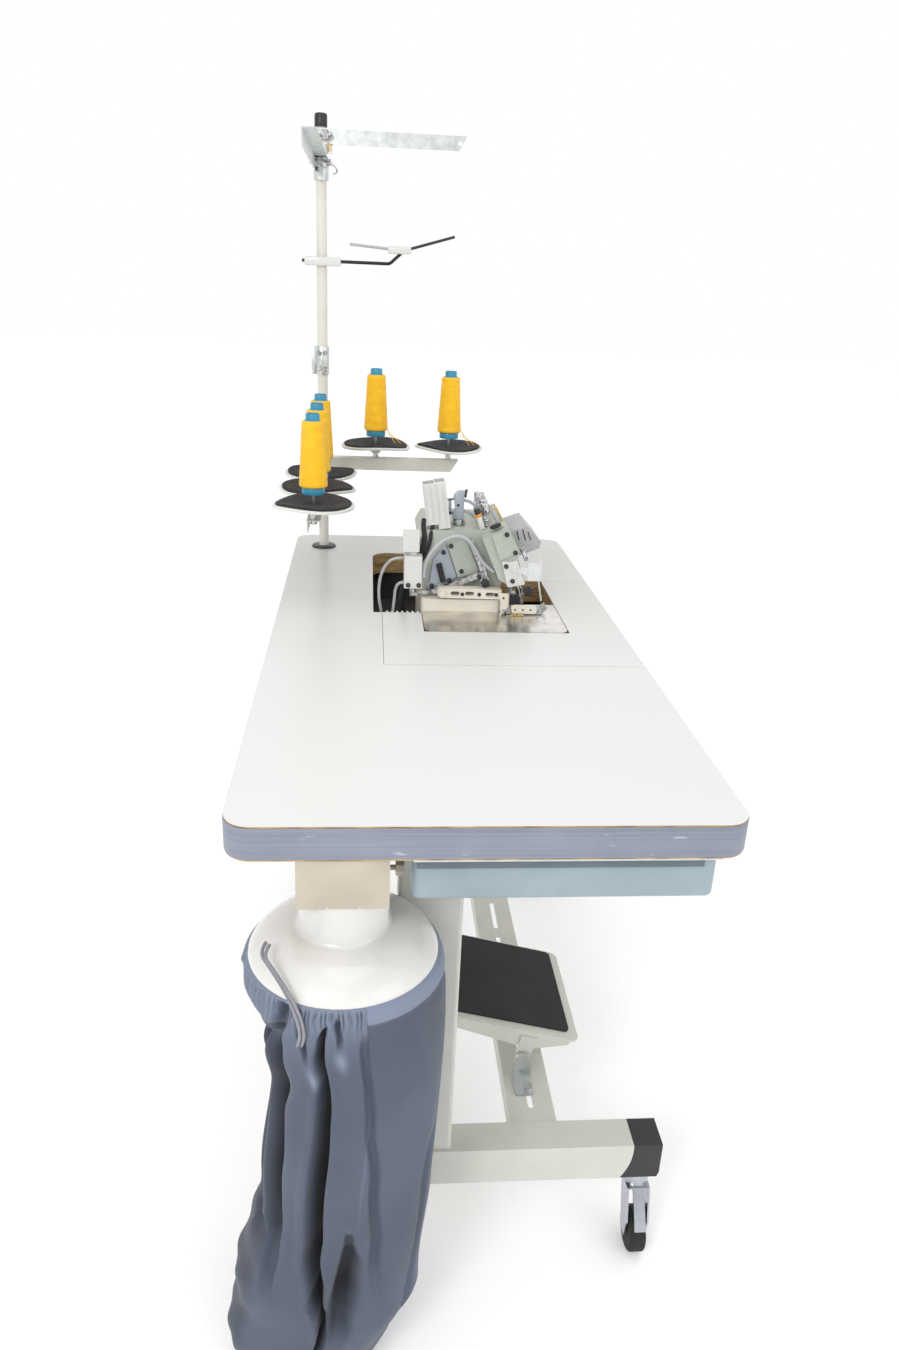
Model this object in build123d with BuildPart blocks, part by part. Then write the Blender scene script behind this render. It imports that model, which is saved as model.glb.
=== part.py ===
"""Serger (overlock) sewing machine on its industrial table, stand, thread rack and waste collector.

Millimetres, +Z up.  The origin is on the floor, under the middle of the whole outline.
+X runs along the table, away from the waste bag; the operator sits on the -Y side.
"""
from build123d import *
import math
import os

os.makedirs("parts", exist_ok=True)


def save(piece, name):
    """Label a finished piece and write it as its own STEP file."""
    piece.part.label = name
    export_step(piece.part, f"parts/{name}.step")


# ---------------------------------------------------------------- driving dimensions
# table top
table_x = 30
table_y = -10
table_len = 1200
table_wid = 550
table_thk = 40
table_z = 790
table_corner_r = 30
# opening for the sewing head, and the lift-out panel beside it
hole_x0 = 22
hole_x1 = 310
hole_y0 = -200
hole_y1 = 31
well_x0 = 115
well_x1 = 490
well_y0 = -60
well_y1 = 110
well_corner_r = 28
panel_x0 = -122
panel_y1 = 96
panel_gap = 0.6
# stand
foot_len = 471
foot_cap_len = 41
foot_w = 48
foot_z0 = 135
foot_z1 = 194
foot_y = -21.5
column_w = 81
column_t = 40
column_y = 39.5
left_leg_x = -404
right_leg_x = 536
tube_wall = 2.5
leg_plate_t = 6
leg_plate_len = 300
leg_plate_w = 62
bar_w = 68
bar_y = -124
bar_z1 = 189
bar_h = 30
bar_wall = 3
slot_len = 84
slot_w = 8
slot_pitch = 107
slot_count = 8
# casters
caster_y0 = -274
caster_y1 = 221
wheel_r = 31
wheel_w = 24
caster_trail = 20
stem_r = 6
stem_len = 30
axle_r = 4
run_gap = 0.05
# treadle
treadle_x = -183.5
treadle_w = 207
treadle_len = 258
treadle_front = 76
treadle_t = 4
treadle_rise = 41
treadle_tilt = 14.6
pivot_y = -117
pivot_z = 228
pivot_r = 5
mat_margin = 14
mat_far = 6
mat_t = 3
rod_x = -66
rod_y = 20
rod_r = 4
# drawer
drawer_x0 = -540
drawer_x1 = -446
drawer_y0 = -263
drawer_y1 = 70
drawer_z0 = 680
drawer_z1 = 740
drawer_wall = 2.5
drawer_lip = 6
# control box
box_x0 = -160
box_x1 = -30
box_y0 = -60
box_y1 = 80
box_z0 = 610
# thread stand
pole_x = 536
pole_y = 208
pole_r = 9.5
pole_top = 1548
pole_joint = 1150
pole_wall = 1.5
arm_w = 22
arm_h = 23
arm_t = 1.8
right_arm_z = 971
left_arm_z = 931
right_arm_end = -57
left_arm_end = 151
right_spools = (106, -37)
left_spools = (438, 302, 166)
disc_r = 66
disc_rise = 30
pad_t = 4
pin_r = 2.5
cone_lift = 12
cone_h = 126
seat_h = 60
guide_right_z = 1537
guide_left_z = 1494
guide_h = 24
guide_r = 4
mid_z = 1324
# waste collector
funnel_x = -514
funnel_y = 143
neck_r = 50
neck_z0 = 640
rim_r = 106
rim_z = 606
funnel_wall = 3
port_r = 20
port_z = 718
port_len = 26
plate_w = 97
plate_z0 = 689
# sewing head
plate_gap = 1.2
plate_t = 4
bed_x0 = 124
head_x1 = 322
bed_y0 = -101
bed_y1 = 31
bed_z0 = 706
bed_floor_t = 10
bed_x1 = 308
bed_top = 811
presser_x0 = 118
presser_w = 18
arm_x0 = 156
nose_x0 = 126
arm_top = 919
cover_t = 5
lean = 18.4
shaft_y = -35
shaft_z = 862
shaft_r = 10
needle_x = 140
needle_y = -135
needle_z = 815
bar_r = 3.6
lifter_x = 141
lifter_t = 7
lifter_y = -3
lifter_z = 823
lifter_pin_r = 3
tray_t = 2
tray_z0 = 690
guard_y = -121
guard_z = 866

table_y0 = table_y - table_wid / 2
table_under = table_z - table_thk
plate_x0 = hole_x0 + plate_gap
plate_x1 = 167
plate_y0 = hole_y0 + plate_gap
plate_y1 = hole_y1 - plate_gap

# ---------------------------------------------------------------- table top
with BuildPart() as table_top:
    with BuildSketch(Plane.XY.offset(table_under)):
        with Locations((table_x, table_y)):
            RectangleRounded(table_len, table_wid, table_corner_r)
        with BuildLine():
            Polyline(
                (panel_x0, table_y0 - 1), (hole_x1, table_y0 - 1), (hole_x1, well_y0),
                (well_x1, well_y0), (well_x1, well_y1), (well_x0, well_y1),
                (well_x0, panel_y1), (panel_x0, panel_y1), close=True,
            )
        make_face(mode=Mode.SUBTRACT)
        with Locations((pole_x, pole_y)):
            Circle(pole_r + run_gap, mode=Mode.SUBTRACT)
    extrude(amount=table_thk)
    well_corners = table_top.edges().filter_by(Axis.Z).filter_by_position(Axis.X, well_x1 - 1, well_x1 + 1)
    fillet(well_corners.sort_by(Axis.Y)[-1:], well_corner_r)
    fillet(well_corners.sort_by(Axis.Y)[:1], well_corner_r / 2)
save(table_top, "table_top")

with BuildPart() as table_insert:
    with BuildSketch(Plane.XY.offset(table_under)):
        with BuildLine():
            Polyline(
                (panel_x0 + panel_gap, table_y0), (hole_x1 - panel_gap, table_y0),
                (hole_x1 - panel_gap, hole_y0), (hole_x0, hole_y0), (hole_x0, hole_y1),
                (well_x0, hole_y1), (well_x0, panel_y1 - panel_gap),
                (panel_x0 + panel_gap, panel_y1 - panel_gap), close=True,
            )
        make_face()
    extrude(amount=table_thk)
save(table_insert, "table_insert")

# steel pan that closes the opening from below, carries the panel and the head's cushions
pan_x0 = hole_x0 - 10
pan_x1 = well_x1 + 10
pan_y0 = hole_y0 - 5
pan_y1 = well_y1 + 10
rim_x0 = panel_x0 - 28
rim_x1 = pan_x1 + 3
rim_y0 = table_y0 + 15
rim_y1 = pan_y1 + 20
cushion_r = 10
cushion_spots = [(60, -170), (60, 10), (300, -170), (300, 10)]
with BuildPart() as head_tray:
    with BuildSketch(Plane.XY.offset(table_under - tray_t)):
        with Locations(((rim_x0 + rim_x1) / 2, (rim_y0 + rim_y1) / 2)):
            Rectangle(rim_x1 - rim_x0, rim_y1 - rim_y0)
    extrude(amount=tray_t)
    with BuildSketch(Plane.XY.offset(tray_z0)):
        with Locations(((pan_x0 + pan_x1) / 2, (pan_y0 + pan_y1) / 2)):
            Rectangle(pan_x1 - pan_x0, pan_y1 - pan_y0)
    extrude(amount=table_under - tray_z0)
    with BuildSketch(Plane.XY.offset(tray_z0 + tray_t)):
        with Locations(((pan_x0 + pan_x1) / 2, (pan_y0 + pan_y1) / 2)):
            Rectangle(pan_x1 - pan_x0 - 2 * tray_t, pan_y1 - pan_y0 - 2 * tray_t)
    extrude(amount=table_under - tray_z0, mode=Mode.SUBTRACT)
    with BuildSketch(Plane.XY.offset(tray_z0 + tray_t)):
        with Locations(*cushion_spots):
            Circle(cushion_r)
    extrude(amount=bed_z0 - tray_z0 - tray_t)
save(head_tray, "head_tray")

# ---------------------------------------------------------------- stand
for side, leg_x in (("left", left_leg_x), ("right", right_leg_x)):
    foot_y0 = foot_y - foot_len / 2
    foot_y1 = foot_y + foot_len / 2
    with BuildPart() as leg:
        # foot tube, its ends cut to the curve of the plastic caps
        with BuildSketch(Plane.YZ.offset(leg_x - foot_w / 2)):
            with BuildLine():
                Line((foot_y0, foot_z1), (foot_y1, foot_z1))
                ThreePointArc((foot_y1, foot_z1), (foot_y1 - 3, foot_z0 + 26), (foot_y1 - 15, foot_z0))
                Line((foot_y1 - 15, foot_z0), (foot_y0 + 15, foot_z0))
                ThreePointArc((foot_y0 + 15, foot_z0), (foot_y0 + 3, foot_z0 + 26), (foot_y0, foot_z1))
            make_face()
        extrude(amount=foot_w)
        # column and the plate that screws to the table
        with BuildSketch(Plane.XY.offset(foot_z1)):
            with Locations((leg_x, column_y)):
                RectangleRounded(column_t, column_w, 6)
        extrude(amount=table_under - leg_plate_t - foot_z1)
        with BuildSketch(Plane.XY.offset(table_under - leg_plate_t)):
            with Locations((leg_x, column_y)):
                RectangleRounded(leg_plate_w, leg_plate_len, 8)
                with GridLocations(leg_plate_w - 24, leg_plate_len - 40, 2, 2):
                    Circle(3, mode=Mode.SUBTRACT)
        extrude(amount=leg_plate_t)
        # the tubes are hollow
        with BuildSketch(Plane.XZ.offset(-foot_y1 - 1)):
            with Locations((leg_x, (foot_z0 + foot_z1) / 2)):
                Rectangle(foot_w - 2 * tube_wall, foot_z1 - foot_z0 - 2 * tube_wall)
        extrude(amount=foot_len + 2, mode=Mode.SUBTRACT)
        with BuildSketch(Plane.XY.offset(foot_z1)):
            with Locations((leg_x, column_y)):
                RectangleRounded(column_t - 2 * tube_wall, column_w - 2 * tube_wall, 4)
        extrude(amount=table_under - leg_plate_t - foot_z1, mode=Mode.SUBTRACT)
    save(leg, f"{side}_leg")

# plastic caps that finish the foot tubes and hold the casters' stems
with BuildPart() as foot_end_caps:
    for leg_x in (left_leg_x, right_leg_x):
        for end, stem_y in ((-1, caster_y0), (1, caster_y1)):
            edge = foot_y + end * foot_len / 2
            tip = edge + end * foot_cap_len
            with BuildSketch(Plane.YZ.offset(leg_x - foot_w / 2)):
                with BuildLine():
                    ThreePointArc((edge, foot_z1), (edge - end * 3, foot_z0 + 26), (edge - end * 15, foot_z0))
                    Polyline(
                        (edge - end * 15, foot_z0), (tip - end * 3, foot_z0), (tip, foot_z0 + 8),
                        (tip, foot_z1), (edge, foot_z1),
                    )
                make_face()
            extrude(amount=foot_w)
            with BuildSketch(Plane.XY.offset(foot_z0)):
                with Locations((leg_x, stem_y)):
                    Circle(stem_r + run_gap)
            extrude(amount=stem_len + 1, mode=Mode.SUBTRACT)
save(foot_end_caps, "foot_end_caps")

# channel that ties the two feet together and carries the treadle
bar_x0 = left_leg_x + foot_w / 2
bar_x1 = right_leg_x - foot_w / 2
with BuildPart() as stretcher_bar:
    with BuildSketch(Plane.YZ.offset(bar_x0)):
        with Locations((bar_y, bar_z1 - bar_h / 2)):
            Rectangle(bar_w, bar_h)
        with Locations((bar_y, bar_z1 - bar_wall - bar_h / 2)):
            Rectangle(bar_w - 2 * bar_wall, bar_h, mode=Mode.SUBTRACT)
    extrude(amount=bar_x1 - bar_x0)
    fillet(stretcher_bar.edges().filter_by(Axis.X).group_by(Axis.Z)[-1], 2.5)
    with BuildSketch(Plane.XY.offset(bar_z1 - bar_wall)):
        with Locations(((bar_x0 + bar_x1) / 2, bar_y)):
            with GridLocations(slot_pitch, 1, slot_count, 1):
                SlotOverall(slot_len, slot_w)
    extrude(amount=bar_wall, mode=Mode.SUBTRACT)
save(stretcher_bar, "stretcher_bar")

# ---------------------------------------------------------------- casters
crown_z = foot_z0 - 0.4
fork_in = wheel_w / 2 + 2
fork_t = 2.5
for place, leg_x, stem_y in (
    ("front_left", left_leg_x, caster_y0), ("rear_left", left_leg_x, caster_y1),
    ("front_right", right_leg_x, caster_y0), ("rear_right", right_leg_x, caster_y1),
):
    wheel_x = leg_x - caster_trail
    with BuildPart() as fork:
        with BuildSketch(Plane.XY.offset(foot_z0)):
            with Locations((leg_x, stem_y)):
                Circle(stem_r)
        extrude(amount=stem_len)
        with BuildSketch(Plane.XY.offset(crown_z - 26)):
            with Locations((leg_x, stem_y)):
                Circle(18)
        extrude(amount=26, taper=6)
        with BuildSketch(Plane.XY.offset(crown_z)):
            with Locations((leg_x, stem_y)):
                Circle(stem_r)
        extrude(amount=foot_z0 - crown_z)
        # two cheeks down to the axle, the crown plate over them, and the brake plate
        for cheek in (-1, 1):
            with BuildSketch(Plane.XZ.offset(-stem_y - cheek * (fork_in + fork_t / 2) - fork_t / 2)):
                with BuildLine():
                    Polyline(
                        (leg_x - 20, crown_z - 26), (leg_x + 14, crown_z - 26),
                        (wheel_x + 9, wheel_r - 4), (wheel_x - 9, wheel_r - 4),
                        (wheel_x - 14, wheel_r + 26), close=True,
                    )
                make_face()
            extrude(amount=fork_t)
        with BuildSketch(Plane.XY.offset(crown_z - 29)):
            with Locations((leg_x - 3, stem_y)):
                RectangleRounded(34, 2 * (fork_in + fork_t), 4)
        extrude(amount=3)
        with BuildSketch(Plane.XZ.offset(-stem_y - 8)):
            with BuildLine():
                Polyline(
                    (leg_x - 16, crown_z - 29), (leg_x - 20, crown_z - 27), (wheel_x - 31, wheel_r + 28),
                    (wheel_x - 27, wheel_r + 26), close=True,
                )
            make_face()
        extrude(amount=16)
        with BuildSketch(Plane.XZ.offset(-stem_y - fork_in - fork_t)):
            with Locations((wheel_x, wheel_r)):
                Circle(axle_r)
        extrude(amount=2 * (fork_in + fork_t))
    save(fork, f"caster_fork_{place}")

    with BuildPart() as wheel:
        with BuildSketch(Plane.XZ.offset(-stem_y - wheel_w / 2)):
            with Locations((wheel_x, wheel_r)):
                Circle(wheel_r)
                Circle(axle_r + run_gap, mode=Mode.SUBTRACT)
        extrude(amount=wheel_w)
        fillet(wheel.edges().filter_by(GeomType.CIRCLE).group_by(SortBy.RADIUS)[-1], 5)
    save(wheel, f"caster_wheel_{place}")

# ---------------------------------------------------------------- treadle
tread_plane = Plane(
    origin=(treadle_x, pivot_y, pivot_z),
    x_dir=(1, 0, 0),
    z_dir=(0, -math.sin(math.radians(treadle_tilt)), math.cos(math.radians(treadle_tilt))),
)
tread_side = Plane(
    origin=(treadle_x, pivot_y, pivot_z),
    x_dir=(0, math.cos(math.radians(treadle_tilt)), math.sin(math.radians(treadle_tilt))),
    z_dir=(1, 0, 0),
)
treadle_back = treadle_len - treadle_front
tread_mid = (treadle_back - treadle_front) / 2
skirt_t = 3
ear_t = 3
tab_z = 299
tab_t = 4
with BuildPart() as treadle_plate:
    with BuildSketch(tread_plane.offset(treadle_rise)):
        with Locations((0, tread_mid)):
            RectangleRounded(treadle_w, treadle_len, 12)
    extrude(amount=treadle_t)
    # side walls, deepest at the pivot, and the ears that turn on the pivot pins
    for side in (-1, 1):
        wall_x = side * (treadle_w / 2 - skirt_t / 2) - skirt_t / 2
        with BuildSketch(tread_side.offset(wall_x)):
            with BuildLine():
                Polyline(
                    (-treadle_front + 12, treadle_rise), (-treadle_front + 14, treadle_rise - 7),
                    (-16, treadle_rise - 24), (16, treadle_rise - 24),
                    (treadle_back - 14, treadle_rise - 7), (treadle_back - 12, treadle_rise), close=True,
                )
            make_face()
        extrude(amount=skirt_t)
        ear_x = side * (treadle_w / 2 + ear_t / 2) - ear_t / 2
        with BuildSketch(tread_side.offset(ear_x)):
            with BuildLine():
                Polyline((-13, treadle_rise - 4), (13, treadle_rise - 4), (11, 0), (-11, 0), close=True)
            make_face()
            Circle(11)
            Circle(pivot_r + run_gap, mode=Mode.SUBTRACT)
        extrude(amount=ear_t)
    # slotted tab for the control rod
    with BuildSketch(Plane.XY.offset(tab_z)):
        with Locations((rod_x - 3, rod_y - 2)):
            Rectangle(26, 48)
        with Locations((rod_x, rod_y - 2)):
            SlotOverall(34, 2 * rod_r + 1.4, rotation=90, mode=Mode.SUBTRACT)
    extrude(amount=tab_t)
save(treadle_plate, "treadle_plate")

with BuildPart() as treadle_mat:
    with BuildSketch(tread_plane.offset(treadle_rise + treadle_t)):
        with Locations((-(mat_far - mat_margin) / 2, tread_mid - (mat_far - mat_margin) / 2)):
            RectangleRounded(treadle_w - mat_margin - mat_far, treadle_len - mat_margin - mat_far, 8)
    extrude(amount=mat_t)
save(treadle_mat, "treadle_mat")

ear_out = treadle_w / 2 + ear_t
with BuildPart() as treadle_brackets:
    for side in (-1, 1):
        post = side * (ear_out + 2 + 2) - 2
        with BuildSketch(Plane.YZ.offset(treadle_x + post)):
            with Locations((pivot_y, bar_z1 + 14)):
                Rectangle(26, 28)
            with Locations((pivot_y, pivot_z)):
                Circle(11)
            with Locations((pivot_y, (bar_z1 + 28 + pivot_z) / 2)):
                Rectangle(22, pivot_z - bar_z1 - 28 + 6)
        extrude(amount=4)
        with BuildSketch(Plane.XY.offset(bar_z1)):
            with Locations((treadle_x + post + 2 + side * 17, pivot_y)):
                RectangleRounded(34, 26, 3)
        extrude(amount=3)
        with BuildSketch(Plane.XY.offset(bar_z1 + 3)):
            with Locations((treadle_x + post + 2 + side * 21, bar_y)):
                RegularPolygon(6.5, 6)
        extrude(amount=5)
        pin_from = treadle_x + post if side > 0 else treadle_x + post + 4
        with BuildSketch(Plane.YZ.offset(pin_from)):
            with Locations((pivot_y, pivot_z)):
                Circle(pivot_r)
        extrude(amount=-side * 8)
save(treadle_brackets, "treadle_brackets")

# rod that carries the treadle's movement up into the control box
rod_top = 655
collar_gap = 5
with BuildPart() as pitman_rod:
    with BuildSketch(Plane.XY.offset(tab_z - collar_gap - 6)):
        with Locations((rod_x, rod_y)):
            Circle(rod_r)
    extrude(amount=rod_top - tab_z + collar_gap + 6)
    for collar_z in (tab_z - collar_gap - 5, tab_z + tab_t + collar_gap):
        with BuildSketch(Plane.XY.offset(collar_z)):
            with Locations((rod_x, rod_y)):
                Circle(9)
        extrude(amount=5)
save(pitman_rod, "pitman_rod")

with BuildPart() as control_box:
    with BuildSketch(Plane.XY.offset(box_z0)):
        with Locations(((box_x0 + box_x1) / 2, (box_y0 + box_y1) / 2)):
            RectangleRounded(box_x1 - box_x0, box_y1 - box_y0, 8)
    extrude(amount=table_under - tray_t - box_z0)
    fillet(control_box.edges().group_by(Axis.Z)[0], 4)
    with BuildSketch(Plane.XY.offset(box_z0 - 10)):
        with Locations((rod_x, rod_y)):
            Circle(10)
    extrude(amount=10)
    with BuildSketch(Plane.XY.offset(box_z0 - 10)):
        with Locations((rod_x, rod_y)):
            Circle(rod_r + run_gap)
    extrude(amount=90, mode=Mode.SUBTRACT)
save(control_box, "control_box")

# ---------------------------------------------------------------- drawer
drawer_cx = (drawer_x0 + drawer_x1) / 2
drawer_cy = (drawer_y0 + drawer_y1) / 2
drawer_w = drawer_x1 - drawer_x0
drawer_l = drawer_y1 - drawer_y0
lip_t = 3
with BuildPart() as drawer:
    with BuildSketch(Plane.XY.offset(drawer_z0)):
        with Locations((drawer_cx, drawer_cy)):
            RectangleRounded(drawer_w, drawer_l, 9)
    extrude(amount=drawer_z1 - drawer_z0)
    fillet(drawer.edges().group_by(Axis.Z)[0], 7)
    with BuildSketch(Plane.XY.offset(drawer_z1 - lip_t)):
        with Locations((drawer_cx, drawer_cy)):
            RectangleRounded(drawer_w + 2 * drawer_lip, drawer_l, 6)
    extrude(amount=lip_t)
    with BuildSketch(Plane.XY.offset(drawer_z0 + drawer_wall)):
        with Locations((drawer_cx, drawer_cy)):
            RectangleRounded(drawer_w - 2 * drawer_wall, drawer_l - 2 * drawer_wall, 7)
    extrude(amount=drawer_z1 - drawer_z0, mode=Mode.SUBTRACT)
    # curved finger pull at the operator's end
    with BuildSketch(Plane.YZ.offset(drawer_x0 + 8)):
        with BuildLine():
            Line((drawer_y0 + 0.5, drawer_z1), (drawer_y0 - 22, drawer_z1))
            ThreePointArc(
                (drawer_y0 - 22, drawer_z1), (drawer_y0 - 14, drawer_z1 - 9), (drawer_y0 + 0.5, drawer_z1 - 16),
            )
            Line((drawer_y0 + 0.5, drawer_z1 - 16), (drawer_y0 + 0.5, drawer_z1))
        make_face()
    extrude(amount=drawer_w - 16)
save(drawer, "drawer")

rail_t = 2
rail_in = 4
rail_top = drawer_z1 - lip_t - 0.3
with BuildPart() as drawer_runners:
    for side in (-1, 1):
        web = drawer_cx + side * (drawer_w / 2 + drawer_lip + 1 + rail_t / 2)
        with BuildSketch(Plane.XZ.offset(-drawer_y1)):
            with Locations((web, (rail_top - rail_t + table_under) / 2)):
                Rectangle(rail_t, table_under - rail_top + rail_t)
            with Locations((web - side * (rail_in / 2 + 0.5), rail_top - rail_t / 2)):
                Rectangle(rail_in + 1, rail_t)
            with Locations((web - side * 5, table_under - rail_t / 2)):
                Rectangle(12, rail_t)
        extrude(amount=drawer_l)
save(drawer_runners, "drawer_runners")

# ---------------------------------------------------------------- thread stand
pole_foot = table_under - 22
with BuildPart() as pole_tubes:
    for low, high in ((pole_foot, pole_joint - 0.3), (pole_joint, pole_top)):
        with BuildSketch(Plane.XY.offset(low)):
            with Locations((pole_x, pole_y)):
                Circle(pole_r)
                Circle(pole_r - pole_wall, mode=Mode.SUBTRACT)
        extrude(amount=high - low)
save(pole_tubes, "pole_tubes")

sleeve_z0 = 1125
sleeve_z1 = 1176
with BuildPart() as pole_fittings:
    # base washer above the table, lock nut below it
    with BuildSketch(Plane.XY.offset(table_z)):
        with Locations((pole_x, pole_y)):
            Circle(24)
            Circle(pole_r + run_gap, mode=Mode.SUBTRACT)
    extrude(amount=4)
    washer_rims = pole_fittings.edges().filter_by(GeomType.CIRCLE).group_by(Axis.Z)[-1]
    fillet(washer_rims.group_by(SortBy.RADIUS)[-1], 2)
    with BuildSketch(Plane.XY.offset(table_under - 12)):
        with Locations((pole_x, pole_y)):
            RegularPolygon(20, 6)
            Circle(pole_r + run_gap, mode=Mode.SUBTRACT)
    extrude(amount=12)
    # split sleeve that joins the two tubes, with its two clamp screws
    with BuildSketch(Plane.XY.offset(sleeve_z0)):
        with Locations((pole_x, pole_y)):
            Circle(pole_r + 3)
        with Locations((pole_x, pole_y + pole_r + 6)):
            Rectangle(9, 10)
        with Locations((pole_x, pole_y)):
            Circle(pole_r + run_gap, mode=Mode.SUBTRACT)
    extrude(amount=sleeve_z1 - sleeve_z0)
    for screw_z in (sleeve_z0 + 11, sleeve_z1 - 11):
        with BuildSketch(Plane.XZ.offset(-pole_y - pole_r - 24)):
            with Locations((pole_x, screw_z)):
                Circle(3)
        extrude(amount=14)
        with BuildSketch(Plane.XZ.offset(-pole_y - pole_r - 16)):
            with Locations((pole_x, screw_z)):
                RegularPolygon(5.5, 6)
        extrude(amount=5)
    # cap on top
    with BuildSketch(Plane.XY.offset(pole_top - 8)):
        with Locations((pole_x, pole_y)):
            Circle(pole_r + 1.7)
    extrude(amount=22)
    fillet(pole_fittings.edges().group_by(Axis.Z)[-1], 4)
    with BuildSketch(Plane.XY.offset(pole_top - 8)):
        with Locations((pole_x, pole_y)):
            Circle(pole_r + run_gap)
    extrude(amount=8, mode=Mode.SUBTRACT)
save(pole_fittings, "pole_fittings")

# two identical channels, one towards the operator and one along the table
with BuildPart() as spool_arms:
    for reach, top, heading in (
        (pole_y - right_arm_end, right_arm_z, (0, -1, 0)), (pole_x - left_arm_end, left_arm_z, (-1, 0, 0)),
    ):
        along = Plane(origin=(pole_x, pole_y, top), x_dir=heading, z_dir=(0, 0, 1))
        section = Plane(origin=(pole_x, pole_y, top), x_dir=along.y_dir, z_dir=heading)
        with BuildSketch(section.offset(-18)):
            with Locations((0, -arm_h / 2)):
                Rectangle(arm_w, arm_h)
            with Locations((0, -arm_h / 2 - arm_t)):
                Rectangle(arm_w - 2 * arm_t, arm_h, mode=Mode.SUBTRACT)
        extrude(amount=reach + 18)
        # slanted end, and the hole that the pole passes through
        side = Plane(origin=(pole_x, pole_y, top), x_dir=heading, z_dir=along.y_dir * -1)
        with BuildSketch(side.offset(-arm_w)):
            with BuildLine():
                Polyline(
                    (reach + 1, 1), (reach + 1, -arm_h - 1), (reach - 16, -arm_h - 1), (reach, 1), close=True,
                )
            make_face()
        extrude(amount=2 * arm_w, mode=Mode.SUBTRACT)
        with BuildSketch(along.offset(-arm_h)):
            Circle(pole_r + run_gap)
        extrude(amount=arm_h, mode=Mode.SUBTRACT)
        # clamp collar under the channel
        with BuildSketch(along.offset(-arm_h - 11)):
            Circle(pole_r + 5)
            Circle(pole_r + run_gap, mode=Mode.SUBTRACT)
        extrude(amount=12)
save(spool_arms, "spool_arms")

right_places = [(pole_x, spool_y, right_arm_z) for spool_y in right_spools]
left_places = [(spool_x, pole_y, left_arm_z) for spool_x in left_spools]
spool_places = right_places + left_places
with BuildPart() as spool_holders:
    for spool_x, spool_y, top in spool_places:
        disc_z = top + disc_rise
        with BuildSketch(Plane(origin=(spool_x, spool_y, top), x_dir=(1, 0, 0), z_dir=(0, -1, 0))):
            with BuildLine():
                Polyline(
                    (0, 0), (9, 0), (9, disc_rise - 20), (20, disc_rise - 12), (disc_r, disc_rise - 6),
                    (disc_r, disc_rise - 3.5), (20, disc_rise - 8), (0, disc_rise - 8), close=True,
                )
            make_face()
        revolve(axis=Axis((spool_x, spool_y, 0), (0, 0, 1)))
        # foam pad, pin, and the taper bush that the cone sits on
        with BuildSketch(Plane(origin=(spool_x, spool_y, top), x_dir=(1, 0, 0), z_dir=(0, -1, 0))):
            with BuildLine():
                Polyline(
                    (pin_r + 0.2, disc_rise - 7.9), (20, disc_rise - 7.9), (disc_r - 1.5, disc_rise - 3.3),
                    (disc_r - 1.5, disc_rise - 3.3 + pad_t), (20, disc_rise - 7.9 + pad_t),
                    (pin_r + 0.2, disc_rise - 7.9 + pad_t), close=True,
                )
            make_face()
        revolve(axis=Axis((spool_x, spool_y, 0), (0, 0, 1)))
        with BuildSketch(Plane(origin=(spool_x, spool_y, disc_z), x_dir=(1, 0, 0), z_dir=(0, -1, 0))):
            with BuildLine():
                Polyline(
                    (0, -8.5), (pin_r, -8.5), (pin_r, cone_lift + 30), (9, cone_lift + 30),
                    (8, cone_lift + seat_h), (pin_r, cone_lift + seat_h), (pin_r, cone_lift + 100),
                    (0, cone_lift + 102), close=True,
                )
            make_face()
        revolve(axis=Axis((spool_x, spool_y, 0), (0, 0, 1)))
save(spool_holders, "spool_holders")

core_foot_r = 18.5
core_top_r = 11
thread_foot_r = 23
thread_top_r = 17.5
for number, (spool_x, spool_y, top) in enumerate(spool_places, start=1):
    foot = top + disc_rise + cone_lift
    with BuildPart() as cone:
        # plastic core, hollow, tapering to the top
        with BuildSketch(Plane(origin=(spool_x, spool_y, foot), x_dir=(1, 0, 0), z_dir=(0, -1, 0))):
            with BuildLine():
                Polyline(
                    (16, 0), (core_foot_r, 0), (core_foot_r, 11), (15.5, 11.2), (12.6, cone_h - 10),
                    (core_top_r, cone_h - 9), (core_top_r, cone_h), (9.3, cone_h), (9.3, seat_h + 4),
                    (4, seat_h + 4), (4, seat_h + 0.3), (9.3, seat_h + 0.3), (9.3, 20), (16, 2), close=True,
                )
            make_face()
        revolve(axis=Axis((spool_x, spool_y, 0), (0, 0, 1)))
        # wound thread
        with BuildSketch(Plane(origin=(spool_x, spool_y, foot), x_dir=(1, 0, 0), z_dir=(0, -1, 0))):
            with BuildLine():
                Polyline(
                    (15.55, 11.5), (thread_foot_r - 1.5, 11.5), (thread_foot_r, 14),
                    (thread_top_r, cone_h - 13),
                    (thread_top_r - 2, cone_h - 11), (12.75, cone_h - 11), close=True,
                )
            make_face()
        revolve(axis=Axis((spool_x, spool_y, 0), (0, 0, 1)))
    save(cone, f"thread_cone_{number}")

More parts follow.
